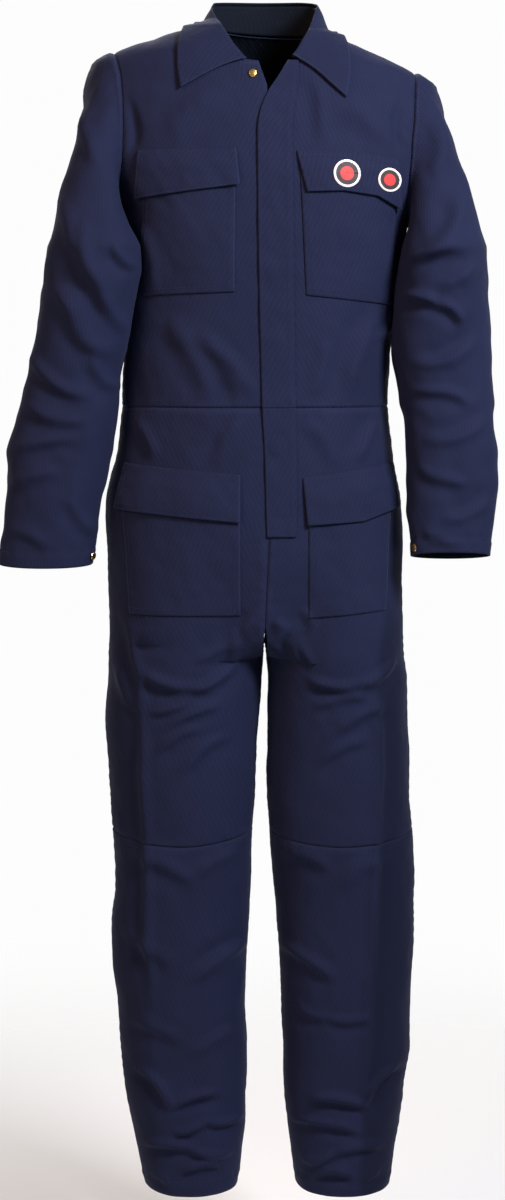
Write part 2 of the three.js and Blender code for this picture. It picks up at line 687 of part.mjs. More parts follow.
// From a point of the armhole to the first full ring of the sleeve.
function headPoint(table, sign, hole, angle, t) {
  const top = table[0].z;
  const foot = ringPoint(table, top, angle);
  const reach = foot.distanceTo(hole);
  const { way } = torsoDistance(hole);
  const out = new THREE.Vector3(sign * 0.9, 0, -0.45).addScaledVector(way, 0.35).normalize();
  const above = hole.clone().sub(foot).normalize().multiplyScalar(0.7);
  above.z += 0.3;
  above.normalize();
  const nearHole = hole.clone().addScaledVector(out, reach * 0.1);
  const nearFoot = foot.clone().addScaledVector(above, reach * 0.45);
  const p = new THREE.CubicBezierCurve3(hole, nearHole, nearFoot, foot).getPoint(t);
  return keepClear(p, ARM_CLEAR * THREE.MathUtils.smoothstep(t, -0.3, 0.3));
}

function sleeve(sign, loop) {
  const table = sign < 0 ? SLEEVE_RIGHT : SLEEVE_LEFT;
  const last = table[table.length - 1].z;
  const around = loop.length;
  return grid(HEAD_ROWS + ARM_ROWS, around - 1, (unused, alsoUnused, c, r) => {
    const angle = (2 * Math.PI * c) / around;
    if (r === 0) return loop[c].clone();
    if (r < HEAD_ROWS) return headPoint(table, sign, loop[c], angle, r / HEAD_ROWS);
    const z = THREE.MathUtils.lerp(table[0].z, last, (r - HEAD_ROWS) / ARM_ROWS);
    return sleevePoint(table, z, angle);
  });
}

// Points round an armhole, up the front and down the back.
function armholeLoop(front, back, frontColumn, backColumn) {
  const up = front.slice(BODY_ROWS).map((line) => line[frontColumn]);
  const down = back.slice(BODY_ROWS).map((line) => line[backColumn]);
  return [...up, ...down.reverse().slice(1, -1)];
}

// Collar

function collarRow(name, at) {
  return new THREE.Vector3(...["x", "y", "z"].map((axis) => read(COLLAR, "at", at, name + axis)));
}

// The cut edge that the stand is sewn to, from the wearer's right end round the back.
function neckline(frontRight, back, frontLeft) {
  const top = (points) => points[points.length - 1];
  const right = top(frontRight).slice(1, NECK_CELLS + 1);
  const behind = top(back).slice(ACROSS - NECK_CELLS + 1, ACROSS + NECK_CELLS);
  const left = top(frontLeft).slice(0, NECK_CELLS + 1);
  return [...right, ...behind, ...left.reverse()];
}

function collarStand(seam) {
  const lengths = [0];
  for (let i = 1; i < seam.length; i++) {
    lengths.push(lengths[i - 1] + seam[i].distanceTo(seam[i - 1]));
  }
  return grid(STAND_ROWS, seam.length - 1, (s, t, c) => {
    const top = collarRow("r", lengths[c] / lengths[seam.length - 1]);
    top.z -= STAND_DROP;
    const foot = seam[c].clone();
    return foot.add(top.clone().sub(foot).setLength(SEAM_GAP * 4)).lerp(top, t);
  });
}

// The leaf starts over the top of the stand, rolls over and lies on the shoulders and fronts.
function collarLeaf() {
  return grid(LEAF_ROWS, COLLAR_CELLS, (s, t) => {
    const fold = collarRow("r", s);
    const edge = collarRow("l", s);
    const out = edge.clone().sub(fold).setZ(0).normalize();
    fold.z += LEAF_START;
    const p = fold.lerp(edge, t);
    p.addScaledVector(out, LEAF_ROLL * Math.sin(Math.PI * Math.sqrt(t)) * (1 - t));
    p.z += LEAF_ROLL * Math.sin(Math.PI * t);
    return keepClear(p, LEAF_CLEAR);
  });
}

// Pieces sewn on the fronts

// Level of the torso table for a height in the world.
function untilted(x, height) {
  let z = height;
  for (let i = 0; i < 3; i++) z = height - tiltAt(x, z);
  return z;
}

// Point over a place of the front, at a distance from the cloth, and the way out.
function onFront(x, height, away) {
  const z = untilted(x, height);
  const sign = x < read(FLY, "z", z, "x") ? -1 : 1;
  const p = trunk(x, z, sign, -1);
  const over = trunk(x + 0.5, z, sign, -1).sub(trunk(x - 0.5, z, sign, -1));
  const up = trunk(x, z + 0.5, sign, -1).sub(trunk(x, z - 0.5, sign, -1));
  const normal = over.cross(up).normalize();
  return { p: p.addScaledVector(normal, away), normal };
}

function edgeAt(points, share) {
  return along(points.map(([x, z]) => ({ x, z })), share);
}

// Angle of a place round the torso section, and the place for an angle.
function angleAt(x, z) {
  const q = THREE.MathUtils.clamp((x - read(TORSO, "z", z, "xc")) / read(TORSO, "z", z, "a"), -1, 1);
  return Math.acos(Math.sign(q) * Math.pow(Math.abs(q), read(TORSO, "z", z, "n") / 2));
}

function placeAt(angle, z) {
  const c = Math.cos(angle);
  const across = Math.sign(c) * Math.pow(Math.abs(c), 2 / read(TORSO, "z", z, "n"));
  return read(TORSO, "z", z, "xc") + read(TORSO, "z", z, "a") * across;
}

// Share of the way between two places, even along the cloth and not across the view.
function between(x0, x1, z, share) {
  return placeAt(THREE.MathUtils.lerp(angleAt(x0, z), angleAt(x1, z), share), z);
}

// Wall laid over the front between two edges; away says how far off it lies at each share.
function patch(shape, across, down, away) {
  const normals = [];
  const points = grid(down, across, (s, t, c, r) => {
    const start = edgeAt(shape.top, 0).x * (1 - t) + edgeAt(shape.bottom, 0).x * t;
    const end = edgeAt(shape.top, 1).x * (1 - t) + edgeAt(shape.bottom, 1).x * t;
    const level = THREE.MathUtils.lerp(edgeAt(shape.top, 0.5).z, edgeAt(shape.bottom, 0.5).z, t);
    const x = between(start, end, level, s);
    const share = (x - start) / (end - start);
    const z = THREE.MathUtils.lerp(edgeAt(shape.top, share).z, edgeAt(shape.bottom, share).z, t);
    const { p, normal } = onFront(x, z, away(s, t));
    if (!normals[r]) normals[r] = [];
    normals[r][c] = normal;
    return p;
  });
  return shell(points, offset(points, normals, -TRIM_WALL), false);
}

function pocket(shape) {
  return patch(shape, 8, 8, () => LAY_GAP + TRIM_WALL);
}

// A flap is sewn down along its top and lies over the mouth of its pocket.
function flap(shape) {
  return patch(shape, 8, 4, (s, t) => {
    return FLAP_GAP + TRIM_WALL + (FLAP_GAP + TRIM_WALL) * THREE.MathUtils.smoothstep(t, 0, 0.45);
  });
}

function placket(rows, down) {
  const normals = [];
  const from = rows[0].z;
  const to = rows[rows.length - 1].z;
  const points = grid(down, 3, (s, t, c, r) => {
    const z = THREE.MathUtils.lerp(from, to, t);
    const x = THREE.MathUtils.lerp(read(rows, "z", z, "left"), read(rows, "z", z, "right"), s);
    const { p, normal } = onFront(x, z, LAY_GAP + TRIM_WALL);
    if (!normals[r]) normals[r] = [];
    normals[r][c] = normal;
    return p;
  });
  return shell(points, offset(points, normals, -TRIM_WALL), false);
}

// Round badge on a flap, made over a square grid drawn into a circle.
function badge(x, z, radius) {
  const away = 2 * (FLAP_GAP + TRIM_WALL) + BADGE_GAP + BADGE_WALL;
  const normals = [];
  const points = grid(6, 6, (s, t, c, r) => {
    const u = 2 * s - 1;
    const v = 2 * t - 1;
    const dx = radius * u * Math.sqrt(1 - (v * v) / 2);
    const dz = radius * v * Math.sqrt(1 - (u * u) / 2);
    const { p, normal } = onFront(x + dx, z + dz, away);
    if (!normals[r]) normals[r] = [];
    normals[r][c] = normal;
    return p;
  });
  return shell(points, offset(points, normals, -BADGE_WALL), false);
}

// Snap cap with a low dome, standing on the cloth at p along its normal.
function snap(p, normal) {
  const profile = [
    [0, 0],
    [SNAP_RADIUS - 0.6, 0],
    [SNAP_RADIUS, 0.8],
    [SNAP_RADIUS - 0.8, 1.7],
    [SNAP_RADIUS * 0.55, 2.1],
    [0, 2.3],
  ].map(([r, h]) => new THREE.Vector2(r, h));
  const geometry = new THREE.LatheGeometry(profile, 12);
  const turn = new THREE.Quaternion().setFromUnitVectors(new THREE.Vector3(0, 1, 0), normal);
  geometry.applyQuaternion(turn);
  geometry.translate(p.x, p.y, p.z);
  return geometry;
}

function snapOnFront(x, z) {
  const { p, normal } = onFront(x, z, SNAP_GAP);
  return snap(p, normal);
}

function snapOnSleeve(table, z, angle) {
  const p = sleevePoint(table, z, angle);
  const over = sleevePoint(table, z, angle + 0.05).sub(sleevePoint(table, z, angle - 0.05));
  const up = sleevePoint(table, z + 2, angle).sub(sleevePoint(table, z - 2, angle));
  const normal = over.cross(up).normalize();
  const middle = ringPoint(table, z, 0).add(ringPoint(table, z, Math.PI)).multiplyScalar(0.5);
  if (normal.dot(p.clone().sub(middle)) < 0) normal.negate();
  return snap(p.addScaledVector(normal, SNAP_GAP), normal);
}

// Assembly

// Turns the normals of a panel to point away from its middle.
function facing(points, normals) {
  const all = points.flat();
  const ways = normals.flat();
  const middle = new THREE.Vector3();
  for (const p of all) middle.add(p);
  middle.divideScalar(all.length);
  const sum = all.reduce((total, p, i) => total + ways[i].dot(p.clone().sub(middle)), 0);
  if (sum < 0) ways.forEach((n) => n.negate());
}

function panel(name, points, sides, closed = false) {
  const normals = gridNormals(points, closed);
  facing(points, normals);
  return { name, points, normals, sides, closed };
}

const group = new THREE.Group();
const navy = new THREE.Color(0.025, 0.028, 0.07);
const brass = new THREE.Color(0.62, 0.43, 0.16);
const white = new THREE.Color(0.75, 0.72, 0.72);

function add(name, geometry, color = navy, metalness = 0) {
  const material = new THREE.MeshStandardMaterial({ color, metalness, roughness: metalness ? 0.35 : 0.9 });
  const mesh = new THREE.Mesh(geometry, material);
  mesh.name = name;
  group.add(mesh);
}

const frontRight = bodiceFront(-1);
const frontLeft = bodiceFront(1);
const back = bodiceBack();
const backLast = back[0].length - 1;
const loopRight = armholeLoop(frontRight, back, ACROSS, 0);
const loopLeft = armholeLoop(frontLeft, back, ACROSS, backLast);
const standPoints = collarStand(neckline(frontRight, back, frontLeft));
const legHeights = [...upperHeights().slice(0, -1), ...lowerHeights()];

// Edges of each panel that are sewn to another
const cut = { bottom: true, top: true, start: true, end: true };
const openStart = { ...cut, start: false };
const openHem = { ...cut, top: false };
const armhole = { bottom: true, lift: SLEEVE_LIFT };

const panels = [
  panel("bodice_front_right", frontRight, openStart),
  panel("bodice_front_left", frontLeft, openStart),
  panel("bodice_back", back, cut),
  panel("sleeve_right", sleeve(-1, loopRight), armhole, true),
  panel("sleeve_left", sleeve(1, loopLeft), armhole, true),
  panel("trouser_front_right", trouserPanel(upperHeights(), -1, -1), cut),
  panel("trouser_front_left", trouserPanel(upperHeights(), 1, -1), cut),
  panel("trouser_shin_right", trouserPanel(lowerHeights(), -1, -1), openHem),
  panel("trouser_shin_left", trouserPanel(lowerHeights(), 1, -1), openHem),
  panel("trouser_back_right", trouserPanel(legHeights, -1, 1), openHem),
  panel("trouser_back_left", trouserPanel(legHeights, 1, 1), openHem),
];
weldNormals(panels);
for (const { name, points, normals, sides, closed } of panels) {
  trim(points, closed, sides);
  add(name, shell(points, offset(points, normals, -WALL), closed));
}

function thin(points) {
  const normals = gridNormals(points, false);
  facing(points, normals);
  return shell(points, offset(points, normals, -TRIM_WALL), false);
}

add("collar_stand", thin(standPoints));
add("collar_leaf", thin(collarLeaf()));
add("placket_bodice", placket(PLACKET_BODICE, 22));
add("placket_trouser", placket(PLACKET_TROUSER, 8));
add("chest_pocket_right", pocket(CHEST_POCKET_RIGHT));
add("chest_pocket_left", pocket(CHEST_POCKET_LEFT));
add("chest_flap_right", flap(CHEST_FLAP_RIGHT));
add("chest_flap_left", flap(CHEST_FLAP_LEFT));
add("hip_pocket_right", pocket(HIP_POCKET_RIGHT));
add("hip_pocket_left", pocket(HIP_POCKET_LEFT));
add("hip_flap_right", flap(HIP_FLAP_RIGHT));
add("hip_flap_left", flap(HIP_FLAP_LEFT));
add("badge_front", badge(102, -189, BADGE_RADIUS.front), white);
add("badge_side", badge(156, -195, BADGE_RADIUS.side), white);
add("neck_snap", snapOnFront(-15, -63.5), brass, 1);
add("cuff_snap_right", snapOnSleeve(SLEEVE_RIGHT, -676, 0.35), brass, 1);
add("cuff_snap_left", snapOnSleeve(SLEEVE_LEFT, -667, 0.45), brass, 1);

export default group;
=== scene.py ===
import bpy
import math
import numpy as np
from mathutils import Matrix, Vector


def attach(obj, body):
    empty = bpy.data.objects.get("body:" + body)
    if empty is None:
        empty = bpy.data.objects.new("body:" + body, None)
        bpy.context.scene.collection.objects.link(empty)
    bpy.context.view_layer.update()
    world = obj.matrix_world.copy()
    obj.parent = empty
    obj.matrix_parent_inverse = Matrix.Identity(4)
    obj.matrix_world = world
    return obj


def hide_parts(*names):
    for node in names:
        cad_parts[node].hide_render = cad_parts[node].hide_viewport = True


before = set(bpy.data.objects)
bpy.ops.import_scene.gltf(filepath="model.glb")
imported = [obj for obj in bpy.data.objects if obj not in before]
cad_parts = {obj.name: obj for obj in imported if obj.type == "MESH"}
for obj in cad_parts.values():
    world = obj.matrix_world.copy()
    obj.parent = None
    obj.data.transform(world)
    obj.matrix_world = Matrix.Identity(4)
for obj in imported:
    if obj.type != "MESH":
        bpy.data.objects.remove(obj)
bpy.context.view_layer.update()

MM = 0.001
WALL, TRIM_WALL = 1.6, 1.4
LAY_GAP, FLAP_GAP = 0.7, 1.0
SHOULDER_TILT, TILT_FROM, TILT_FULL = 0.062, -484, -60
Z_NECK, Z_SHOULDER_END, Z_ARMPIT, Z_WAIST = 4, -40, -245, -484
Z_WRIST, Z_BLEND, Z_RISE, Z_CROTCH = -540, -640, -768, -815
Z_KNEE, Z_HEM, KNEE_DIP, BACK_LEAN = -1049, -1545, 13, -12
LEG_ROUND, ARM_ROUND = 2.15, 2.3
ARM_CLEAR, HAND_CLEAR = 6, 8
LEAF_CLEAR, LEAF_RISE, LEAF_ROLL = 4.8, 4, 3
# Widths beside a seam over which folds die away
SEAM_FADE, LEG_FADE = 26, 20
# Places of the topstitching beside an edge
TWIN_LINES = (2, 8)
BADGES = {"badge_front": (102, -189, 17), "badge_side": (156, -195, 14.5)}

# Cells of the visual meshes
ACROSS, BODY_ROWS, YOKE_ROWS = 64, 60, 56
HEAD_ROWS, ARM_ROWS = 30, 104
HIP_ROWS, RISE_ROWS, THIGH_ROWS, SHIN_ROWS = 70, 14, 58, 124


class Curve:
    """Smooth reading of one column of a table, kept without overshoot."""

    def __init__(self, xs, ys):
        order = np.argsort(xs)
        self.xs = np.array(xs, float)[order]
        self.ys = np.array(ys, float)[order]
        d = np.diff(self.ys) / np.diff(self.xs)
        both = d[:-1] * d[1:]
        inner = np.where(both > 0, 2 * both / np.where(both > 0, d[:-1] + d[1:], 1), 0)
        self.m = np.concatenate([d[:1], inner, d[-1:]])

    def __call__(self, at):
        at = np.clip(at, self.xs[0], self.xs[-1])
        i = np.clip(np.searchsorted(self.xs, at, side="right") - 1, 0, len(self.xs) - 2)
        h = self.xs[i + 1] - self.xs[i]
        t = (at - self.xs[i]) / h
        rest = 1 - t
        ends = self.ys[i] * rest**2 * (1 + 2 * t) + self.ys[i + 1] * t**2 * (3 - 2 * t)
        return ends + h * (self.m[i] * t * rest**2 - self.m[i + 1] * t**2 * rest)


def table(columns, rows):
    names = columns.split()
    return {n: Curve([r[0] for r in rows], [r[k] for r in rows]) for k, n in enumerate(names) if k}


TORSO = table(
    "z xc a front back n",
    [
        (16, 0, 56, 44, 52, 2.0),
        (4, 0, 80, 62, 66, 2.0),
        (-5, 0, 108, 73, 77, 2.05),
        (-15, 0, 133, 82, 87, 2.1),
        (-23, 0, 153, 88, 93, 2.1),
        (-34, 0, 183, 94, 99, 2.15),
        (-40, 0, 195, 97, 102, 2.2),
        (-46, 0, 205, 99, 104, 2.2),
        (-58, 0, 219, 103, 107, 2.2),
        (-66, 0, 222, 105, 109, 2.2),
        (-72, 0, 224.5, 106, 110, 2.2),
        (-100, 0, 230, 112, 115, 2.25),
        (-150, 0, 226, 119, 120, 2.3),
        (-200, -2, 213, 123, 122, 2.3),
        (-245, -4, 192, 124, 121, 2.3),
        (-300, -6, 184, 122, 117, 2.3),
        (-360, -8, 179, 119, 111, 2.3),
        (-430, -10, 176, 116, 106, 2.3),
        (-484, -12, 176, 114, 107, 2.3),
        (-529, -13, 180, 115, 113, 2.3),
        (-556, -13, 184, 116, 118, 2.3),
        (-609, -13.5, 196, 118, 127, 2.3),
        (-662, -13, 198, 118, 131, 2.3),
        (-743, -12, 196, 115, 127, 2.3),
        (-797, -11, 199, 110, 117, 2.3),
        (-830, -11, 200, 107, 112, 2.3),
    ],
)
LEGS = table(
    "z right_out right_in left_in left_out front back",
    [
        (-640, -210, 0.6, 1.4, 185, 112, 126),
        (-768, -206, 0.6, 1.4, 185, 108, 118),
        (-815, -210, 0.6, 1.4, 187, 104, 112),
        (-851, -211, -1.5, 4, 192, 102, 108),
        (-905, -213, -6.6, 4, 193, 98, 104),
        (-960, -210, -10.7, 3.5, 195, 94, 99),
        (-1015, -207, -13.4, 5.6, 196, 91, 93),
        (-1070, -203, -16, 8.3, 202, 88, 90),
        (-1125, -202, -17.4, 12.4, 204, 85, 89),
        (-1181, -207, -21.5, 17.9, 203, 83, 90),
        (-1237, -206, -24.3, 22, 202, 81, 90),
        (-1293, -199, -25.6, 25, 200, 79, 87),
        (-1349, -195, -22.6, 26, 200, 77, 84),
        (-1405, -190, -22.9, 27, 192, 75, 80),
        (-1462, -181, -25.7, 32, 186, 73, 76),
        (-1519, -170, -33, 40, 178, 71, 73),
        (-1545, -163, -37, 44, 173, 70, 72),
    ],
)
SLEEVE_COLUMNS = "z inner outer y b tip"
SLEEVE = {
    -1: table(
        SLEEVE_COLUMNS,
        [
            (-278, -156, -278, -62, 74, 0),
            (-304, -155, -282, -62, 72, 0),
            (-349, -165, -289, -56, 70, 0),
            (-400, -175, -298, -48, 66, 0),
            (-450, -187, -309, -44, 62, 0),
            (-500, -192, -323, -44, 59, 0),
            (-545, -199, -336, -46, 56, 0),
            (-582, -206, -336, -49, 51, -1),
            (-609, -213, -338, -51, 46, -2),
            (-662, -218, -343, -55, 38, -3),
            (-688, -223, -346, -57, 34, -4),
        ],
    ),
    1: table(
        SLEEVE_COLUMNS,
        [
            (-278, 175, 285, -52, 74, 0),
            (-304, 172, 287, -52, 72, 0),
            (-349, 168, 290, -48, 70, 0),
            (-400, 164, 295, -44, 66, 0),
            (-450, 172, 297, -46, 62, 2),
            (-500, 182, 298, -52, 58, 4),
            (-545, 185, 303, -60, 54, 6),
            (-582, 185, 304, -67, 49, 5),
            (-609, 185, 301, -72, 45, 6),
            (-654, 188, 295, -80, 38, 7),
            (-676, 190, 293, -83, 35, 7),
        ],
    ),
}
SLEEVE_ENDS = {-1: (-278, -688), 1: (-278, -676)}

# Seams from the front: x, z
ARMHOLE_FRONT = {
    -1: [(192, -245), (189, -233), (184, -214), (181, -180), (180, -135), (181, -102), (184, -72),
         (189, -54), (195, -40)],
    1: [(192, -245), (189, -233), (186, -214), (186, -180), (188, -135), (191, -104), (192, -80),
        (193, -60), (195, -40)],
}
ARMHOLE_BACK = [
    (192, -245), (187, -234), (184, -215), (185, -180), (188, -135),
    (190, -104), (191, -80), (193, -58), (195, -40),
]
NECK = {
    -1: [(-8, -47), (-27, -46), (-48, -37), (-66, -21), (-76, -6), (-80, 4)],
    1: [(37, -43), (44, -40), (55, -32), (68, -19), (76, -6), (80, 4)],
}
EDGE = {
    -1: table("z x", [(-47, -8), (-64, -2), (-79, 3), (-110, 5), (-135, 5.7), (-222, 6.2),
                      (-347, 8.2), (-484, 10.7)]),
    1: table("z x", [(-43, 37), (-60, 29), (-82, 19), (-110, 10), (-135, 6), (-222, 6.5),
                     (-347, 8.5), (-484, 11)]),
}
FLY = table("z x", [(-484, 10.85), (-560, 12), (-620, 12), (-655, 5.5), (-730, 4), (-782, 2.2), (-815, 1)])
COLLAR = table(
    "at rx ry rz lx ly lz",
    [
        (0.0, -23, -104, -44, -105, -97, -83),
        (0.07, -39, -88, -31, -107, -82, -56),
        (0.14, -50, -68, -15, -102, -56, -34),
        (0.21, -60, -44, 6, -95, -24, -13),
        (0.28, -68, -10, 26, -86, 22, 1),
        (0.36, -66, 26, 38, -76, 60, 0),
        (0.43, -42, 49, 42, -55, 86, -6),
        (0.5, 0, 59, 43, 0, 95, -8),
        (0.57, 42, 49, 42, 55, 86, -7),
        (0.64, 66, 26, 37, 76, 60, -2),
        (0.72, 69, -8, 30, 84, 22, -1),
        (0.8, 63, -42, 10, 92, -22, -19),
        (0.87, 55, -68, -11, 99, -56, -45),
        (0.94, 45, -88, -28, 104, -82, -69),
        (1.0, 35, -103, -40, 102, -97, -95),
    ],
)
LAID = {
    "chest_pocket_right": ([(-157, -190), (-37, -186)], [(-154, -341), (-38, -337)]),
    "chest_flap_right": ([(-161, -158), (-36, -158)], [(-163, -218), (-31, -203)]),
    "chest_pocket_left": ([(45, -190), (168, -196)], [(53, -341), (164, -352)]),
    "chest_flap_left": ([(40, -161), (100, -161), (140, -164), (170, -170)],
                        [(53, -212), (100, -210), (145, -215), (172, -230)]),
    "hip_pocket_right": ([(-186, -598), (-31, -606)], [(-175, -752), (-31, -752)]),
    "hip_flap_right": ([(-182, -556), (-31, -569)], [(-192, -616), (-31, -630)]),
    "hip_pocket_left": ([(57, -606), (166, -598)], [(58, -755), (158, -747)]),
    "hip_flap_left": ([(49, -573), (142, -561), (167, -557)],
                      [(55, -634), (128, -630), (172, -614)]),
}
PLACKET = {
    "placket_bodice": [(-47, 29, 43), (-64, 19, 42), (-86, 4.5, 40), (-113, -6, 36), (-135, -9, 34.5),
                       (-222, -8.5, 35.7), (-347, -6.5, 37.3), (-483.9, -3, 40)],
    "placket_trouser": [(-484.1, -3, 40), (-537, 0, 41), (-601, 2, 41.5), (-649, 3.2, 41)],
}

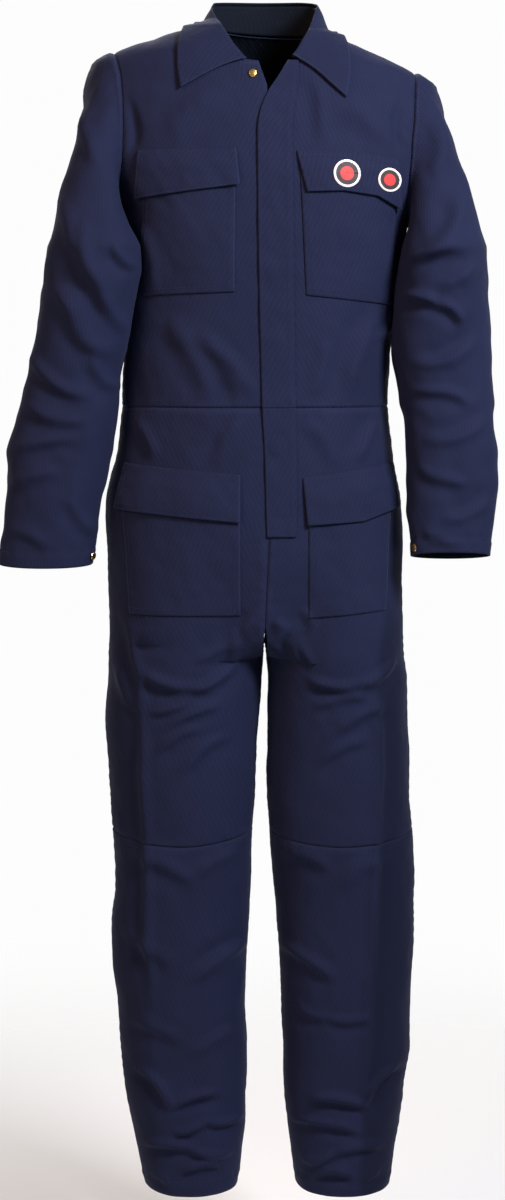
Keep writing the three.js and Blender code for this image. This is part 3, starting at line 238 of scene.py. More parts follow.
# Folds placed one by one: from x z to x z, sideways bow, half width, height of the ridge (a trough is
# negative). The cloth beside a ridge on its right-hand side, seen along the fold, sinks by SINK of it.
SINK = 0.55
GAIN = {"front": 2.5, "back": 2.2, "arm": 2.2}
FOLDS = {
    "front": [
        (-80, -388, -28, -476, 6, 11, 2.6),
        (-118, -372, -70, -470, 6, 12, 2.0),
        (-52, -410, -14, -470, 3, 7, 1.6),
        (150, -366, 108, -470, -8, 12, 2.4),
        (168, -352, 150, -398, 4, 7, 2.4),
        (76, -400, 60, -470, 3, 9, 1.4),
        (-158, -250, -140, -338, 5, 9, 1.8),
        (-60, -90, -120, -140, -8, 14, 1.5),
        (96, -98, 150, -150, 8, 14, 1.6),
        (60, -70, 74, -150, 6, 9, 1.5),
        (-182, -90, -168, -160, 8, 8, -2.4),
        (176, -92, 172, -158, -6, 7, -2.0),
        (-170, -500, -140, -548, 4, 8, 1.8),
        (-30, -500, -60, -556, -3, 9, 1.4),
        (150, -498, 120, -552, -4, 9, 1.8),
        (60, -500, 90, -560, 3, 9, 1.2),
        (-176, -776, -116, -775, -6, 6, 2.4),
        (-158, -828, -104, -848, -5, 7, 3.4),
        (-104, -848, -36, -815, -9, 7, 3.2),
        (-150, -880, -104, -866, -4, 5, 1.8),
        (-128, -900, -62, -868, 4, 6, 2.0),
        (-140, -934, -88, -900, 5, 6, 1.8),
        (-110, -962, -50, -912, 5, 7, 1.8),
        (-190, -820, -168, -880, -5, 9, 2.2),
        (57, -836, 120, -843, -5, 6, 3.0),
        (118, -843, 172, -812, -8, 7, 2.8),
        (64, -872, 132, -858, 5, 6, 1.8),
        (92, -906, 160, -872, 6, 7, 1.9),
        (70, -948, 128, -914, 5, 7, 1.6),
        (13, -752, 47, -818, 4, 6, 2.6),
        (25, -762, 64, -822, 4, 5, 2.0),
        (48, -742, 66, -778, 3, 5, 1.4),
        (-8, -752, -44, -812, -4, 7, 2.2),
        (-30, -790, -88, -812, -4, 7, 1.6),
        (-172, -1075, -92, -1112, 8, 10, 2.0),
        (-30, -1078, -96, -1100, -6, 9, 1.6),
        (168, -1078, 92, -1118, -8, 10, 1.8),
        (26, -1070, 88, -1092, 5, 9, 1.6),
        (-22, -1203, -94, -1243, -6, 8, 2.6),
        (-186, -1180, -120, -1226, 6, 10, 1.8),
        (24, -1203, 94, -1243, 6, 8, 2.6),
        (44, -1284, 82, -1295, -3, 6, 1.8),
        (82, -1295, 142, -1293, -4, 6, 1.8),
        (-176, -1300, -110, -1330, 6, 9, 1.8),
        (-36, -1322, -96, -1346, -6, 8, 1.6),
        (-168, -1370, -124, -1418, 9, 6, 4.0),
        (-124, -1418, -60, -1402, 8, 6, 3.6),
        (-120, -1455, -78, -1439, -3, 5, 3.0),
        (-78, -1439, -30, -1444, -3, 5, 2.8),
        (-160, -1476, -100, -1475, 5, 6, 3.2),
        (-100, -1475, -44, -1492, -5, 6, 3.0),
        (-112, -1508, -52, -1508, 8, 6, 3.6),
        (-150, -1518, -124, -1530, 3, 5, 1.6),
        (62, -1406, 134, -1418, 7, 6, 3.8),
        (134, -1418, 180, -1366, 9, 6, 3.8),
        (42, -1443, 126, -1454, 7, 5, 3.0),
        (52, -1501, 94, -1482, -4, 6, 2.8),
        (94, -1482, 160, -1476, 4, 6, 2.6),
        (70, -1515, 118, -1514, 8, 6, 3.4),
        (128, -1520, 158, -1512, -3, 5, 1.6),
        (-160, -880, -156, -1064, 0, 7, 2.4),
        (-156, -1050, -152, -1260, 0, 7, 2.4),
        (150, -1072, 148, -850, 0, 7, 2.4),
        (142, -1260, 150, -1050, 0, 7, 2.4),
        (134, -1410, 142, -1236, 0, 7, 2.0),
        (-177, -760, -160, -892, 4, 7, 2.0),
    ],
    "back": [
        (-130, -110, -60, -150, -12, 14, 2.2),
        (130, -116, 58, -158, 12, 14, 2.2),
        (-166, -150, -150, -240, 8, 9, -2.6),
        (166, -156, 150, -240, -8, 9, -2.6),
        (-150, -270, -104, -350, 8, 12, 2.4),
        (150, -275, 100, -352, -8, 12, 2.4),
        (-120, -380, -60, -440, 8, 11, 2.6),
        (120, -384, 56, -446, -8, 11, 2.6),
        (-80, -450, 10, -466, 6, 7, 2.2),
        (20, -440, 90, -468, -5, 8, 2.0),
        (-152, -440, -96, -470, 4, 8, 2.0),
        (-140, -520, -80, -600, 8, 12, 2.2),
        (120, -520, 66, -604, -8, 12, 2.2),
        (-24, -760, -104, -800, -8, 8, 3.0),
        (4, -764, 92, -806, 8, 8, 3.0),
        (-40, -800, -130, -826, -8, 8, 3.0),
        (24, -806, 120, -832, 8, 8, 2.8),
        (-60, -846, -160, -862, -6, 8, 2.4),
        (44, -852, 146, -868, 6, 8, 2.4),
        (-184, -900, -120, -960, 8, 11, 2.0),
        (168, -904, 104, -966, -8, 11, 2.0),
        (-40, -1010, -150, -1034, -8, 8, 3.2),
        (30, -1012, 150, -1038, 8, 8, 3.2),
        (-176, -1050, -90, -1072, 7, 8, 2.8),
        (174, -1052, 84, -1076, -7, 8, 2.8),
        (-44, -1086, -140, -1104, -6, 8, 2.4),
        (36, -1090, 140, -1108, 6, 8, 2.4),
        (-170, -1180, -104, -1236, 8, 11, 2.0),
        (168, -1184, 100, -1240, -8, 11, 2.0),
        (-36, -1290, -110, -1330, -6, 9, 2.0),
        (38, -1294, 118, -1334, 6, 9, 2.0),
        (-168, -1380, -90, -1424, 8, 7, 3.4),
        (-90, -1424, -32, -1404, 6, 7, 3.0),
        (164, -1384, 98, -1428, -8, 7, 3.4),
        (98, -1428, 44, -1408, -6, 7, 3.0),
        (-152, -1462, -50, -1470, -8, 6, 3.0),
        (156, -1466, 62, -1474, 8, 6, 3.0),
        (-140, -1510, -56, -1504, 8, 6, 2.8),
        (146, -1512, 70, -1506, -8, 6, 2.8),
    ],
    "arm_right_front": [
        (-230, -252, -180, -384, -10, 9, 4.0),
        (-252, -240, -206, -330, -8, 10, 2.6),
        (-192, -278, -164, -306, -4, 6, 3.2),
        (-262, -330, -200, -420, -10, 10, 2.8),
        (-222, -420, -188, -462, -4, 8, 2.4),
        (-300, -420, -226, -470, -8, 8, 3.0),
        (-308, -480, -230, -500, -6, 8, 2.6),
        (-320, -540, -244, -520, 6, 8, 2.4),
        (-330, -590, -262, -566, 6, 8, 2.0),
        (-250, -600, -216, -648, -4, 8, 2.0),
        (-326, -640, -280, -664, 5, 8, 1.8),
        (-226, -100, -210, -180, -8, 10, 2.4),
        (-262, -180, -240, -260, -8, 12, 2.0),
    ],
    "arm_left_front": [
        (188, -296, 248, -281, 6, 7, 3.4),
        (176, -343, 220, -349, 4, 6, 3.8),
        (220, -349, 252, -378, 5, 6, 3.4),
        (246, -226, 206, -296, 8, 10, 2.8),
        (270, -300, 222, -330, 6, 8, 2.4),
        (268, -400, 196, -430, 8, 8, 2.6),
        (190, -462, 262, -478, 6, 7, 2.8),
        (286, -500, 206, -524, 6, 8, 2.4),
        (196, -556, 262, -582, -6, 8, 2.2),
        (292, -600, 230, -626, 6, 8, 2.0),
        (202, -640, 250, -656, -3, 7, 1.6),
        (222, -112, 214, -186, 7, 9, 2.4),
        (256, -170, 240, -250, 7, 12, 2.0),
    ],
    "arm_right_back": [
        (-216, -220, -182, -300, -8, 10, 2.8),
        (-270, -280, -206, -350, -8, 10, 2.6),
        (-196, -400, -276, -430, 8, 8, 3.0),
        (-206, -444, -296, -462, 8, 8, 3.0),
        (-214, -500, -306, -512, 7, 8, 2.6),
        (-320, -560, -240, -590, -7, 9, 2.2),
        (-236, -632, -318, -646, 6, 8, 1.8),
    ],
    "arm_left_back": [
        (208, -224, 180, -304, 8, 10, 2.8),
        (262, -284, 200, -354, 8, 10, 2.6),
        (188, -402, 262, -434, -8, 8, 3.0),
        (194, -448, 276, -468, -8, 8, 3.0),
        (200, -500, 284, -516, -7, 8, 2.6),
        (288, -560, 214, -590, 7, 9, 2.2),
        (206, -632, 276, -646, -6, 8, 1.8),
    ],
}

# Hidden snaps press up through the placket: x, z
PRESSED_SNAPS = [(9, -135), (11, -222), (12, -310), (13, -398), (16, -532), (18, -612)]


def smooth(t):
    t = np.clip(t, 0, 1)
    return t * t * (3 - 2 * t)


def lerp(a, b, t):
    return a + (b - a) * t


def power(c, n):
    return np.sign(c) * np.abs(c) ** (2 / n)


def tilt(x, z):
    return -SHOULDER_TILT * x * smooth((z - TILT_FROM) / (TILT_FULL - TILT_FROM))


def untilted(x, height):
    z = height
    for _ in range(3):
        z = height - tilt(x, z)
    return z


def along(rows, share):
    """Point at a share of the length of a polyline of (x, z) rows."""
    pts = np.array(rows, float)
    at = np.concatenate([[0], np.cumsum(np.hypot(*np.diff(pts, axis=0).T))])
    return np.interp(share * at[-1], at, pts[:, 0]), np.interp(share * at[-1], at, pts[:, 1])


def torso(x, z, side):
    n = TORSO["n"](z)
    q = np.minimum(1, np.abs((x - TORSO["xc"](z)) / TORSO["a"](z)))
    y = side * TORSO["front" if side < 0 else "back"](z) * (1 - q**n) ** (1 / n)
    return np.stack([x, y, z + tilt(x, z)], -1)


def torso_distance(p):
    def level(v):
        z = v[..., 2] - tilt(v[..., 0], v[..., 2])
        n = TORSO["n"](z)
        q = np.abs((v[..., 0] - TORSO["xc"](z)) / TORSO["a"](z))
        depth = np.where(v[..., 1] < 0, TORSO["front"](z), TORSO["back"](z))
        return (q**n + np.abs(v[..., 1] / depth) ** n) ** (1 / n) - 1

    step = 0.5 * np.eye(3)
    way = np.stack([level(p + step[k]) - level(p - step[k]) for k in range(3)], -1)
    steep = np.maximum(np.linalg.norm(way, axis=-1), 1e-4)
    return level(p) / steep, way / steep[..., None]


def keep_clear(p, clear, upward=0.3):
    for _ in range(8):
        gap, way = torso_distance(p)
        way[..., 2] *= upward
        way /= np.maximum(np.linalg.norm(way, axis=-1, keepdims=True), 1e-9)
        p = p + way * np.clip(clear - gap, 0, 12)[..., None]
    return p


def section_x(z, share, sign, edge):
    xc, a, n = TORSO["xc"](z), TORSO["a"](z), TORSO["n"](z)
    q = np.clip(sign * (edge - xc) / a, -1, 1)
    start = np.arccos(np.sign(q) * np.abs(q) ** (n / 2))
    return xc + sign * a * power(np.cos(start * (1 - share)), n)


def bodice_half(sign, side, neck, edge, armhole):
    s = np.linspace(0, 1, ACROSS + 1)[None, :]
    z = np.linspace(Z_WAIST, Z_ARMPIT, BODY_ROWS + 1)[:, None]
    low = torso(section_x(z, s, sign, edge(z)), z + 0 * s, side)
    t = np.linspace(0, 1, YOKE_ROWS + 1)[1:, None]
    v = 1 - (1 - t) ** 1.9
    foot = section_x(Z_ARMPIT, s, sign, edge(np.array(Z_ARMPIT)))
    neck_x, neck_z = along(neck, 1 - (1 - np.clip(2 * s, 0, 1)) ** 1.6)
    out = np.clip(2 * s - 1, 0, 1)
    ridge_z = lerp(Z_NECK, Z_SHOULDER_END, out**1.25)
    top_x = np.where(s <= 0.5, neck_x, sign * TORSO["a"](ridge_z))
    top_z = np.where(s <= 0.5, neck_z, ridge_z)
    edge_z = lerp(Z_ARMPIT, top_z[0, 0], v)
    hole_x, hole_z = along(armhole, t)
    hole_x = TORSO["xc"](hole_z) + sign * hole_x

    def blend(bottom, top, start, end):
        return (
            lerp(bottom, top, v)
            + (1 - s) ** 3 * (start - lerp(bottom[0, 0], top[0, 0], v))
            + s**3 * (end - lerp(bottom[0, -1], top[0, -1], v))
        )

    x = blend(foot, top_x, edge(edge_z), hole_x)
    z = blend(Z_ARMPIT + 0 * s, top_z, edge_z, hole_z)
    return np.concatenate([low, torso(x, z, side)])


def back_middle(z):
    return np.interp(z, [Z_WAIST, Z_ARMPIT], [BACK_LEAN, 0])


def leg_point(z, share, sign, side):
    inner, outer = leg_sides(z, sign)
    middle = (inner + outer) / 2
    x = middle + (inner - middle) * power(np.cos(np.pi * share), LEG_ROUND)
    depth = LEGS["front" if side < 0 else "back"](z)
    return x, side * depth * np.sin(np.pi * share) ** (2 / LEG_ROUND)


def leg_sides(z, sign):
    names = ("right_in", "right_out") if sign < 0 else ("left_in", "left_out")
    return [LEGS[n](z) for n in names]


def trunk(x, z, sign, side):
    """Front or back surface over a place in the front view, from the torso down into one leg."""
    inner, outer = leg_sides(z, sign)
    soft = smooth((Z_BLEND - z) / (Z_BLEND - Z_CROTCH))
    centre, reach = TORSO["xc"](z), sign * TORSO["a"](z)
    seam_x = lerp(centre + reach, outer, soft)
    p = torso(np.where(z < Z_BLEND, centre + (x - centre) * reach / (seam_x - centre), x), z, side)
    p[..., 0] = x
    q = np.minimum(1, np.abs((2 * x - inner - seam_x) / (seam_x - inner)))
    depth = LEGS["front" if side < 0 else "back"](z)
    leg_y = side * depth * (1 - q**LEG_ROUND) ** (1 / LEG_ROUND)
    down = np.clip((Z_RISE - z) / (Z_RISE - Z_CROTCH), 0, 1)
    curve = 1 - np.sqrt(1 - down**2)
    away = smooth(2 * (x - inner) / (seam_x - inner))
    p[..., 1] = lerp(p[..., 1], leg_y, lerp(curve, soft, away) * (z < Z_BLEND))
    return p


def trouser_panel(heights, sign, side):
    s = np.linspace(0, 1, ACROSS + 1)[None, :]
    z = np.array(heights)[:, None]
    leg_x, leg_y = leg_point(z, s, sign, side)
    middle = FLY["x"](z) if side < 0 else back_middle(z)
    soft = smooth((Z_BLEND - z) / (Z_BLEND - Z_CROTCH))
    x = lerp(section_x(z, s, sign, middle), leg_x, soft)
    rise = trunk(x, z + 0 * s, sign, side)
    leg = np.stack([leg_x, leg_y, z + 0 * s], -1)
    p = np.where((z <= Z_CROTCH)[..., None], leg, rise)
    if side < 0:
        near = np.maximum(0, 1 - np.abs(z - Z_KNEE) / 120)
        p[..., 2] -= KNEE_DIP * near * np.sin(np.pi * s) ** 2
    return p


def upper_heights():
    w = np.linspace(0, 1, RISE_ROWS, endpoint=False)
    rise = lerp(Z_RISE, Z_CROTCH, np.sqrt(1 - (1 - w) ** 2))
    hip = np.linspace(Z_WAIST, Z_RISE, HIP_ROWS, endpoint=False)
    return np.concatenate([hip, rise, np.linspace(Z_CROTCH, Z_KNEE, THIGH_ROWS + 1)])


def lower_heights():
    return np.linspace(Z_KNEE, Z_HEM, SHIN_ROWS + 1)


def ring(tab, z, angle):
    inner, outer = tab["inner"](z), tab["outer"](z)
    middle = (inner + outer) / 2
    x = middle + (inner - middle) * power(np.cos(angle), ARM_ROUND)
    y = tab["y"](z) - tab["b"](z) * power(np.sin(angle), ARM_ROUND)
    return np.stack(np.broadcast_arrays(x, y, z + tab["tip"](z) * np.sin(angle)), -1)


def sleeve_point(tab, z, angle):
    p = ring(tab, z, angle)
    return keep_clear(p, np.where(z > Z_WRIST, ARM_CLEAR, HAND_CLEAR) + 0 * angle)


def sleeve_grid(sign, loop):
    tab = SLEEVE[sign]
    top, last = SLEEVE_ENDS[sign]
    count = len(loop)
    angle = 2 * np.pi * np.arange(count) / count
    foot = ring(tab, np.array(float(top)), angle)
    reach = np.linalg.norm(foot - loop, axis=-1)[:, None]
    _, way = torso_distance(loop)
    out = np.array([sign * 0.9, 0, -0.45]) + 0.35 * way
    out /= np.linalg.norm(out, axis=-1, keepdims=True)
    above = 0.7 * (loop - foot) / reach + np.array([0, 0, 0.3])
    above /= np.linalg.norm(above, axis=-1, keepdims=True)
    b, c = loop + out * reach * 0.1, foot + above * reach * 0.45
    head = []
    for t in np.arange(HEAD_ROWS) / HEAD_ROWS:
        rest = 1 - t
        p = loop * rest**3 + 3 * b * t * rest**2 + 3 * c * t**2 * rest + foot * t**3
        head.append(keep_clear(p, np.full(count, ARM_CLEAR * smooth((t + 0.3) / 0.6))) if t else loop)
    z = np.linspace(top, last, ARM_ROWS + 1)[:, None]
    return np.concatenate([np.array(head), sleeve_point(tab, z, angle[None, :])])


def grid_normals(p, closed=False):
    up = np.gradient(p, axis=0)
    if closed:
        over = np.roll(p, -1, axis=1) - np.roll(p, 1, axis=1)
    else:
        over = np.gradient(p, axis=1)
    n = np.cross(over, up)
    n /= np.maximum(np.linalg.norm(n, axis=-1, keepdims=True), 1e-9)
    middle = p.reshape(-1, 3).mean(0)
    return n * np.sign(np.sum(n * (p - middle)))


def weld_normals(panels):
    """Panels that meet share the way out at the seam, unless they fold back on each other there."""
    shared = {}
    rims = {}
    for name, (p, n, closed) in panels.items():
        rows, cols = p.shape[:2]
        rim = np.zeros((rows, cols), bool)
        rim[[0, -1]] = True
        if not closed:
            rim[:, [0, -1]] = True
        rims[name] = list(zip(*np.nonzero(rim)))
        for r, c in rims[name]:
            shared.setdefault(tuple(np.round(p[r, c] * 4).astype(int)), []).append(n[r, c].copy())
    for name, (p, n, closed) in panels.items():
        for r, c in rims[name]:
            ways = shared[tuple(np.round(p[r, c] * 4).astype(int))]
            if all(np.dot(w, n[r, c]) > 0.1 for w in ways):
                total = np.sum(ways, axis=0)
                n[r, c] = total / np.linalg.norm(total)


RNG = np.random.default_rng(11)
LATTICE = RNG.normal(size=(32, 32, 32))


def noise(p, size):
    """Smooth unevenness over space, about -1 to 1."""
    q = p / size + 64
    i = np.floor(q).astype(int)
    f = smooth(q - i)
    total = 0
    for corner in np.ndindex(2, 2, 2):
        w = np.prod([f[..., k] if corner[k] else 1 - f[..., k] for k in range(3)], axis=0)
        total = total + w * LATTICE[tuple((i[..., k] + corner[k]) % 32 for k in range(3))]
    return total * 0.8


def fold_height(rows, x, z, warp):
    """Height of the listed folds over a place in the front view."""
    total = np.zeros_like(x)
    for x0, z0, x1, z1, bow, half, height in rows:
        length = math.hypot(x1 - x0, z1 - z0)
        ux, uz = (x1 - x0) / length, (z1 - z0) / length
        t = ((x - x0) * ux + (z - z0) * uz) / length
        side = (x - x0) * -uz + (z - z0) * ux
        side = side - bow * 4 * t * (1 - t) * (np.abs(t - 0.5) < 1) + warp * half * 0.35
        end = smooth((t + 0.12) / 0.4) * smooth((1.12 - t) / 0.4)
        ridge = np.exp(-((side / half) ** 2)) - SINK * np.exp(-(((side + 1.9 * half) / (1.4 * half)) ** 2))
        total += height * end * ridge
    return total


def unevenness(p):
    soft = 1.5 * noise(p, 75) + 0.7 * noise(p + 300, 34)
    slant = np.stack([p[..., 0] + 0.7 * p[..., 2], p[..., 1], 0.35 * (p[..., 2] - 0.7 * p[..., 0])], -1)
    return soft + 0.35 * noise(slant, 15)


def front_relief(x, z):
    """Relief of the front of the suit, shared by the panels and by what is sewn on them."""
    place = np.stack([x, np.zeros_like(x) + 500, z], -1)
    return GAIN["front"] * fold_height(FOLDS["front"], x, z, noise(place, 40)) + 0.25 * noise(place, 9)


def arc(p, axis):
    steps = np.linalg.norm(np.diff(p, axis=axis), axis=-1)
    zero = np.zeros_like(np.take(steps, [0], axis=axis))
    return np.concatenate([zero, np.cumsum(steps, axis=axis)], axis=axis)


def pucker(d, run, seed):
    """A sewn edge sinks a little, and the cloth beside it gathers in short ripples."""
    ripple = np.sin(run / 2.3 + 2.2 * np.sin(run / 17 + seed)) * (0.6 + 0.4 * np.sin(run / 41 + 2 * seed))
    return -1.0 * np.exp(-((d / 2.6) ** 2)) + 0.42 * ripple * (d / 7) * np.exp(1 - d / 7)


# Materials


def cloth_material(name, colour, tint, sheen, twill=0.9):
    m = bpy.data.materials.new(name)
    m.use_nodes = True
    nodes, links = m.node_tree.nodes, m.node_tree.links
    nodes.clear()
    out = nodes.new("ShaderNodeOutputMaterial")
    shader = nodes.new("ShaderNodeBsdfPrincipled")
    links.new(shader.outputs[0], out.inputs[0])
    shader.inputs["Sheen Weight"].default_value = sheen
    shader.inputs["Sheen Roughness"].default_value = 0.45
    shader.inputs["Sheen Tint"].default_value = (*tint, 1)
    shader.inputs["Specular IOR Level"].default_value = 0.09
    uv = nodes.new("ShaderNodeUVMap")
    uv.uv_map = "cloth"
    space = nodes.new("ShaderNodeTexCoord")

    def noise_node(scale, detail, source):
        n = nodes.new("ShaderNodeTexNoise")
        n.inputs["Scale"].default_value = scale
        n.inputs["Detail"].default_value = detail
        links.new(source, n.inputs["Vector"])
        return n.outputs["Fac"]

    turn = nodes.new("ShaderNodeMapping")
    turn.inputs["Rotation"].default_value = (0, 0, math.radians(-27))
    links.new(uv.outputs[0], turn.inputs["Vector"])
    wale = nodes.new("ShaderNodeTexWave")
    wale.wave_type = "BANDS"
    wale.bands_direction = "X"
    wale.inputs["Scale"].default_value = 1000 / (20 * twill)
    wale.inputs["Distortion"].default_value = 0.6
    wale.inputs["Detail"].default_value = 1
    wale.inputs["Detail Scale"].default_value = 3
    links.new(turn.outputs[0], wale.inputs["Vector"])
    broad = noise_node(9, 3, space.outputs["Object"])
    slub = noise_node(420, 2, uv.outputs[0])
    wear = nodes.new("ShaderNodeAttribute")
    wear.attribute_name = "wear"

    def mix(kind, fac, a, b):
        n = nodes.new("ShaderNodeMix")
        n.data_type = "RGBA"
        n.blend_type = kind
        if isinstance(fac, float):
            n.inputs["Factor"].default_value = fac
        else:
            links.new(fac, n.inputs["Factor"])
        for socket, value in ((6, a), (7, b)):
            if isinstance(value, tuple):
                n.inputs[socket].default_value = (*value, 1)
            else:
                links.new(value, n.inputs[socket])
        return n.outputs[2]

    dark = tuple(c * 0.8 for c in colour)
    light = tuple(min(1, c * 1.22) for c in colour)
    worn = tuple(min(1, c * 1.5 + 0.002) for c in colour)
    base = mix("MIX", broad, dark, light)
    base = mix("OVERLAY", 0.18, base, slub)
    base = mix("MIX", wale.outputs["Fac"], base, mix("MULTIPLY", 0.22, base, (0.4, 0.4, 0.45)))
    scaled = nodes.new("ShaderNodeMath")
    scaled.operation = "MULTIPLY"
    scaled.inputs[1].default_value = 0.45
    links.new(wear.outputs["Fac"], scaled.inputs[0])
    base = mix("MIX", scaled.outputs[0], base, worn)
    # Painted shade: a mesh attribute darkens the base colour towards half of it, standing in for cloth
    # turned away from the light.
    painted_shade = nodes.new("ShaderNodeAttribute")
    painted_shade.attribute_name = "painted_shade"
    side = tuple(c * 0.5 for c in colour)
    links.new(mix("MIX", painted_shade.outputs["Fac"], base, side), shader.inputs["Base Color"])
    rough = nodes.new("ShaderNodeMapRange")
    rough.inputs["To Min"].default_value = 0.74
    rough.inputs["To Max"].default_value = 0.94
    links.new(slub, rough.inputs["Value"])
    links.new(rough.outputs[0], shader.inputs["Roughness"])
    low = nodes.new("ShaderNodeBump")
    low.inputs["Strength"].default_value = 0.35
    low.inputs["Distance"].default_value = 0.0003
    links.new(wale.outputs["Fac"], low.inputs["Height"])
    high = nodes.new("ShaderNodeBump")
    high.inputs["Strength"].default_value = 0.5
    high.inputs["Distance"].default_value = 0.0012
    links.new(noise_node(70, 4, space.outputs["Object"]), high.inputs["Height"])
    links.new(low.outputs[0], high.inputs["Normal"])
    links.new(high.outputs[0], shader.inputs["Normal"])
    return m


def thread_material(name, colour, shine=0.4, sheen=0.2):
    m = bpy.data.materials.new(name)
    m.use_nodes = True
    nodes, links = m.node_tree.nodes, m.node_tree.links
    shader = nodes["Principled BSDF"]
    space = nodes.new("ShaderNodeTexCoord")
    grain = nodes.new("ShaderNodeTexNoise")
    grain.inputs["Scale"].default_value = 900
    links.new(space.outputs["Object"], grain.inputs["Vector"])
    ramp = nodes.new("ShaderNodeValToRGB")
    ramp.color_ramp.elements[0].color = (*(c * 0.7 for c in colour), 1)
    ramp.color_ramp.elements[1].color = (*(min(1, c * 1.2) for c in colour), 1)
    links.new(grain.outputs["Fac"], ramp.inputs[0])
    links.new(ramp.outputs[0], shader.inputs["Base Color"])
    bump = nodes.new("ShaderNodeBump")
    bump.inputs["Distance"].default_value = 0.0003
    bump.inputs["Strength"].default_value = 0.5
    links.new(grain.outputs["Fac"], bump.inputs["Height"])
    links.new(bump.outputs[0], shader.inputs["Normal"])
    shader.inputs["Roughness"].default_value = 0.6
    shader.inputs["Specular IOR Level"].default_value = shine
    shader.inputs["Sheen Weight"].default_value = sheen
    return m


def brass_material():
    m = thread_material("snap_brass", (0.62, 0.4, 0.14))
    shader = m.node_tree.nodes["Principled BSDF"]
    shader.inputs["Metallic"].default_value = 1
    shader.inputs["Roughness"].default_value = 0.3
    shader.inputs["Sheen Weight"].default_value = 0
    return m


NAVY = cloth_material("navy_twill", (0.0104, 0.0142, 0.0400), (0.5, 0.55, 0.95), 0.04)
NAVY_DEEP = cloth_material("navy_twill_deep", (0.0045, 0.0075, 0.014), (0.4, 0.55, 0.8), 0.02)
THREAD = thread_material("navy_thread", (0.021, 0.026, 0.064), 0.2, 0)
BRASS = brass_material()
WHITE = thread_material("badge_white", (0.8, 0.76, 0.76))
RED = thread_material("badge_red", (0.5, 0.03, 0.03))
BLACK = thread_material("badge_black", (0.02, 0.012, 0.016))


# Meshes


def make(name, verts, faces, material, uv=None, marks=None):
    mesh = bpy.data.meshes.new(name)
    mesh.from_pydata((np.asarray(verts) * MM).tolist(), [], faces)
    if uv is not None:
        layer = mesh.uv_layers.new(name="cloth")
        loops = np.zeros(len(mesh.loops), dtype=np.int32)
        mesh.loops.foreach_get("vertex_index", loops)
        layer.data.foreach_set("uv", (np.asarray(uv)[loops] * MM).ravel())
    for mark, values in (marks or {}).items():
        layer = mesh.attributes.new(mark, "FLOAT", "POINT")
        layer.data.foreach_set("value", np.asarray(values, dtype=np.float32))
    mesh.materials.append(material)
    mesh.polygons.foreach_set("use_smooth", [True] * len(mesh.polygons))
    mesh.update()
    obj = bpy.data.objects.new(name, mesh)
    bpy.context.scene.collection.objects.link(obj)
    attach(obj, "root")
    return obj


def wall_faces(rows, cols, closed):
    """Faces of a wall between two grids, the outer one first."""
    r, c = np.meshgrid(np.arange(rows - 1), np.arange(cols if closed else cols - 1), indexing="ij")
    nxt = (c + 1) % cols
    size = rows * cols
    a, b, d, e = r * cols + c, r * cols + nxt, (r + 1) * cols + nxt, (r + 1) * cols + c
    outer = np.stack([a, b, d, e], -1).reshape(-1, 4)
    faces = [outer, outer[:, ::-1] + size]
    k = np.arange(cols if closed else cols - 1)
    for row, flip in ((0, 1), (rows - 1, -1)):
        x, y = row * cols + k, row * cols + (k + 1) % cols
        rim = np.stack([x, x + size, y + size, y], -1)
        faces.append(rim[:, ::flip])
    if not closed:
        k = np.arange(rows - 1)
        for col, flip in ((0, -1), (cols - 1, 1)):
            x, y = k * cols + col, (k + 1) * cols + col
            rim = np.stack([x, x + size, y + size, y], -1)
            faces.append(rim[:, ::flip])
    return np.concatenate(faces)


def cloth(name, p, normals, wall, closed=False, wear=None, uv=None, material=NAVY, painted_shade=None):
    """A thin closed shell: the outer grid, and the inner one a wall's thickness inside it."""
    rows, cols = p.shape[:2]
    if uv is None:
        uv = np.stack([arc(p, 1), arc(p, 0)], -1)
    inner = p - normals * wall
    verts = np.concatenate([p.reshape(-1, 3), inner.reshape(-1, 3)])
    faces = wall_faces(rows, cols, closed)
    sample = faces[len(faces) // 5]
    first = verts[sample]
    facing_out = normals.reshape(-1, 3)[sample[0] % (rows * cols)]
    if np.dot(np.cross(first[1] - first[0], first[2] - first[1]), facing_out) < 0:
        faces = faces[:, ::-1]
    inside = np.zeros(len(faces), dtype=np.int32)
    outer_count = (rows - 1) * (cols if closed else cols - 1)
    inside[outer_count:2 * outer_count] = 1
    uvs = np.tile(uv.reshape(-1, 2), (2, 1))
    worn = np.zeros(rows * cols) if wear is None else wear.ravel()
    # The painted shade is carried the same on the outer and the inner faces.
    dark = np.zeros(rows * cols) if painted_shade is None else painted_shade.ravel()
    marks = {"wear": np.concatenate([worn, worn * 0]), "painted_shade": np.concatenate([dark, dark])}
    obj = make(name, verts, faces.tolist(), material, uv=uvs, marks=marks)
    obj.data.materials.append(NAVY_DEEP)
    obj.data.polygons.foreach_set("material_index", inside)
    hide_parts(name)
    return obj


def flat_size(p):
    """Width and length of the cloth before it was sewn, and its area, in metres."""
    width = np.linalg.norm(np.diff(p, axis=1), axis=-1).sum(1).max()
    length = np.linalg.norm(np.diff(p, axis=0), axis=-1).sum(0).max()
    a = p[1:, :-1] - p[:-1, :-1]
    b = p[:-1, 1:] - p[:-1, :-1]
    area = np.linalg.norm(np.cross(a, b), axis=-1).sum()
    return width * MM, length * MM, area * MM * MM


STITCH_LONG, STITCH_STEP, STITCH_THICK = 2.6, 3.6, 0.36
stitches = []


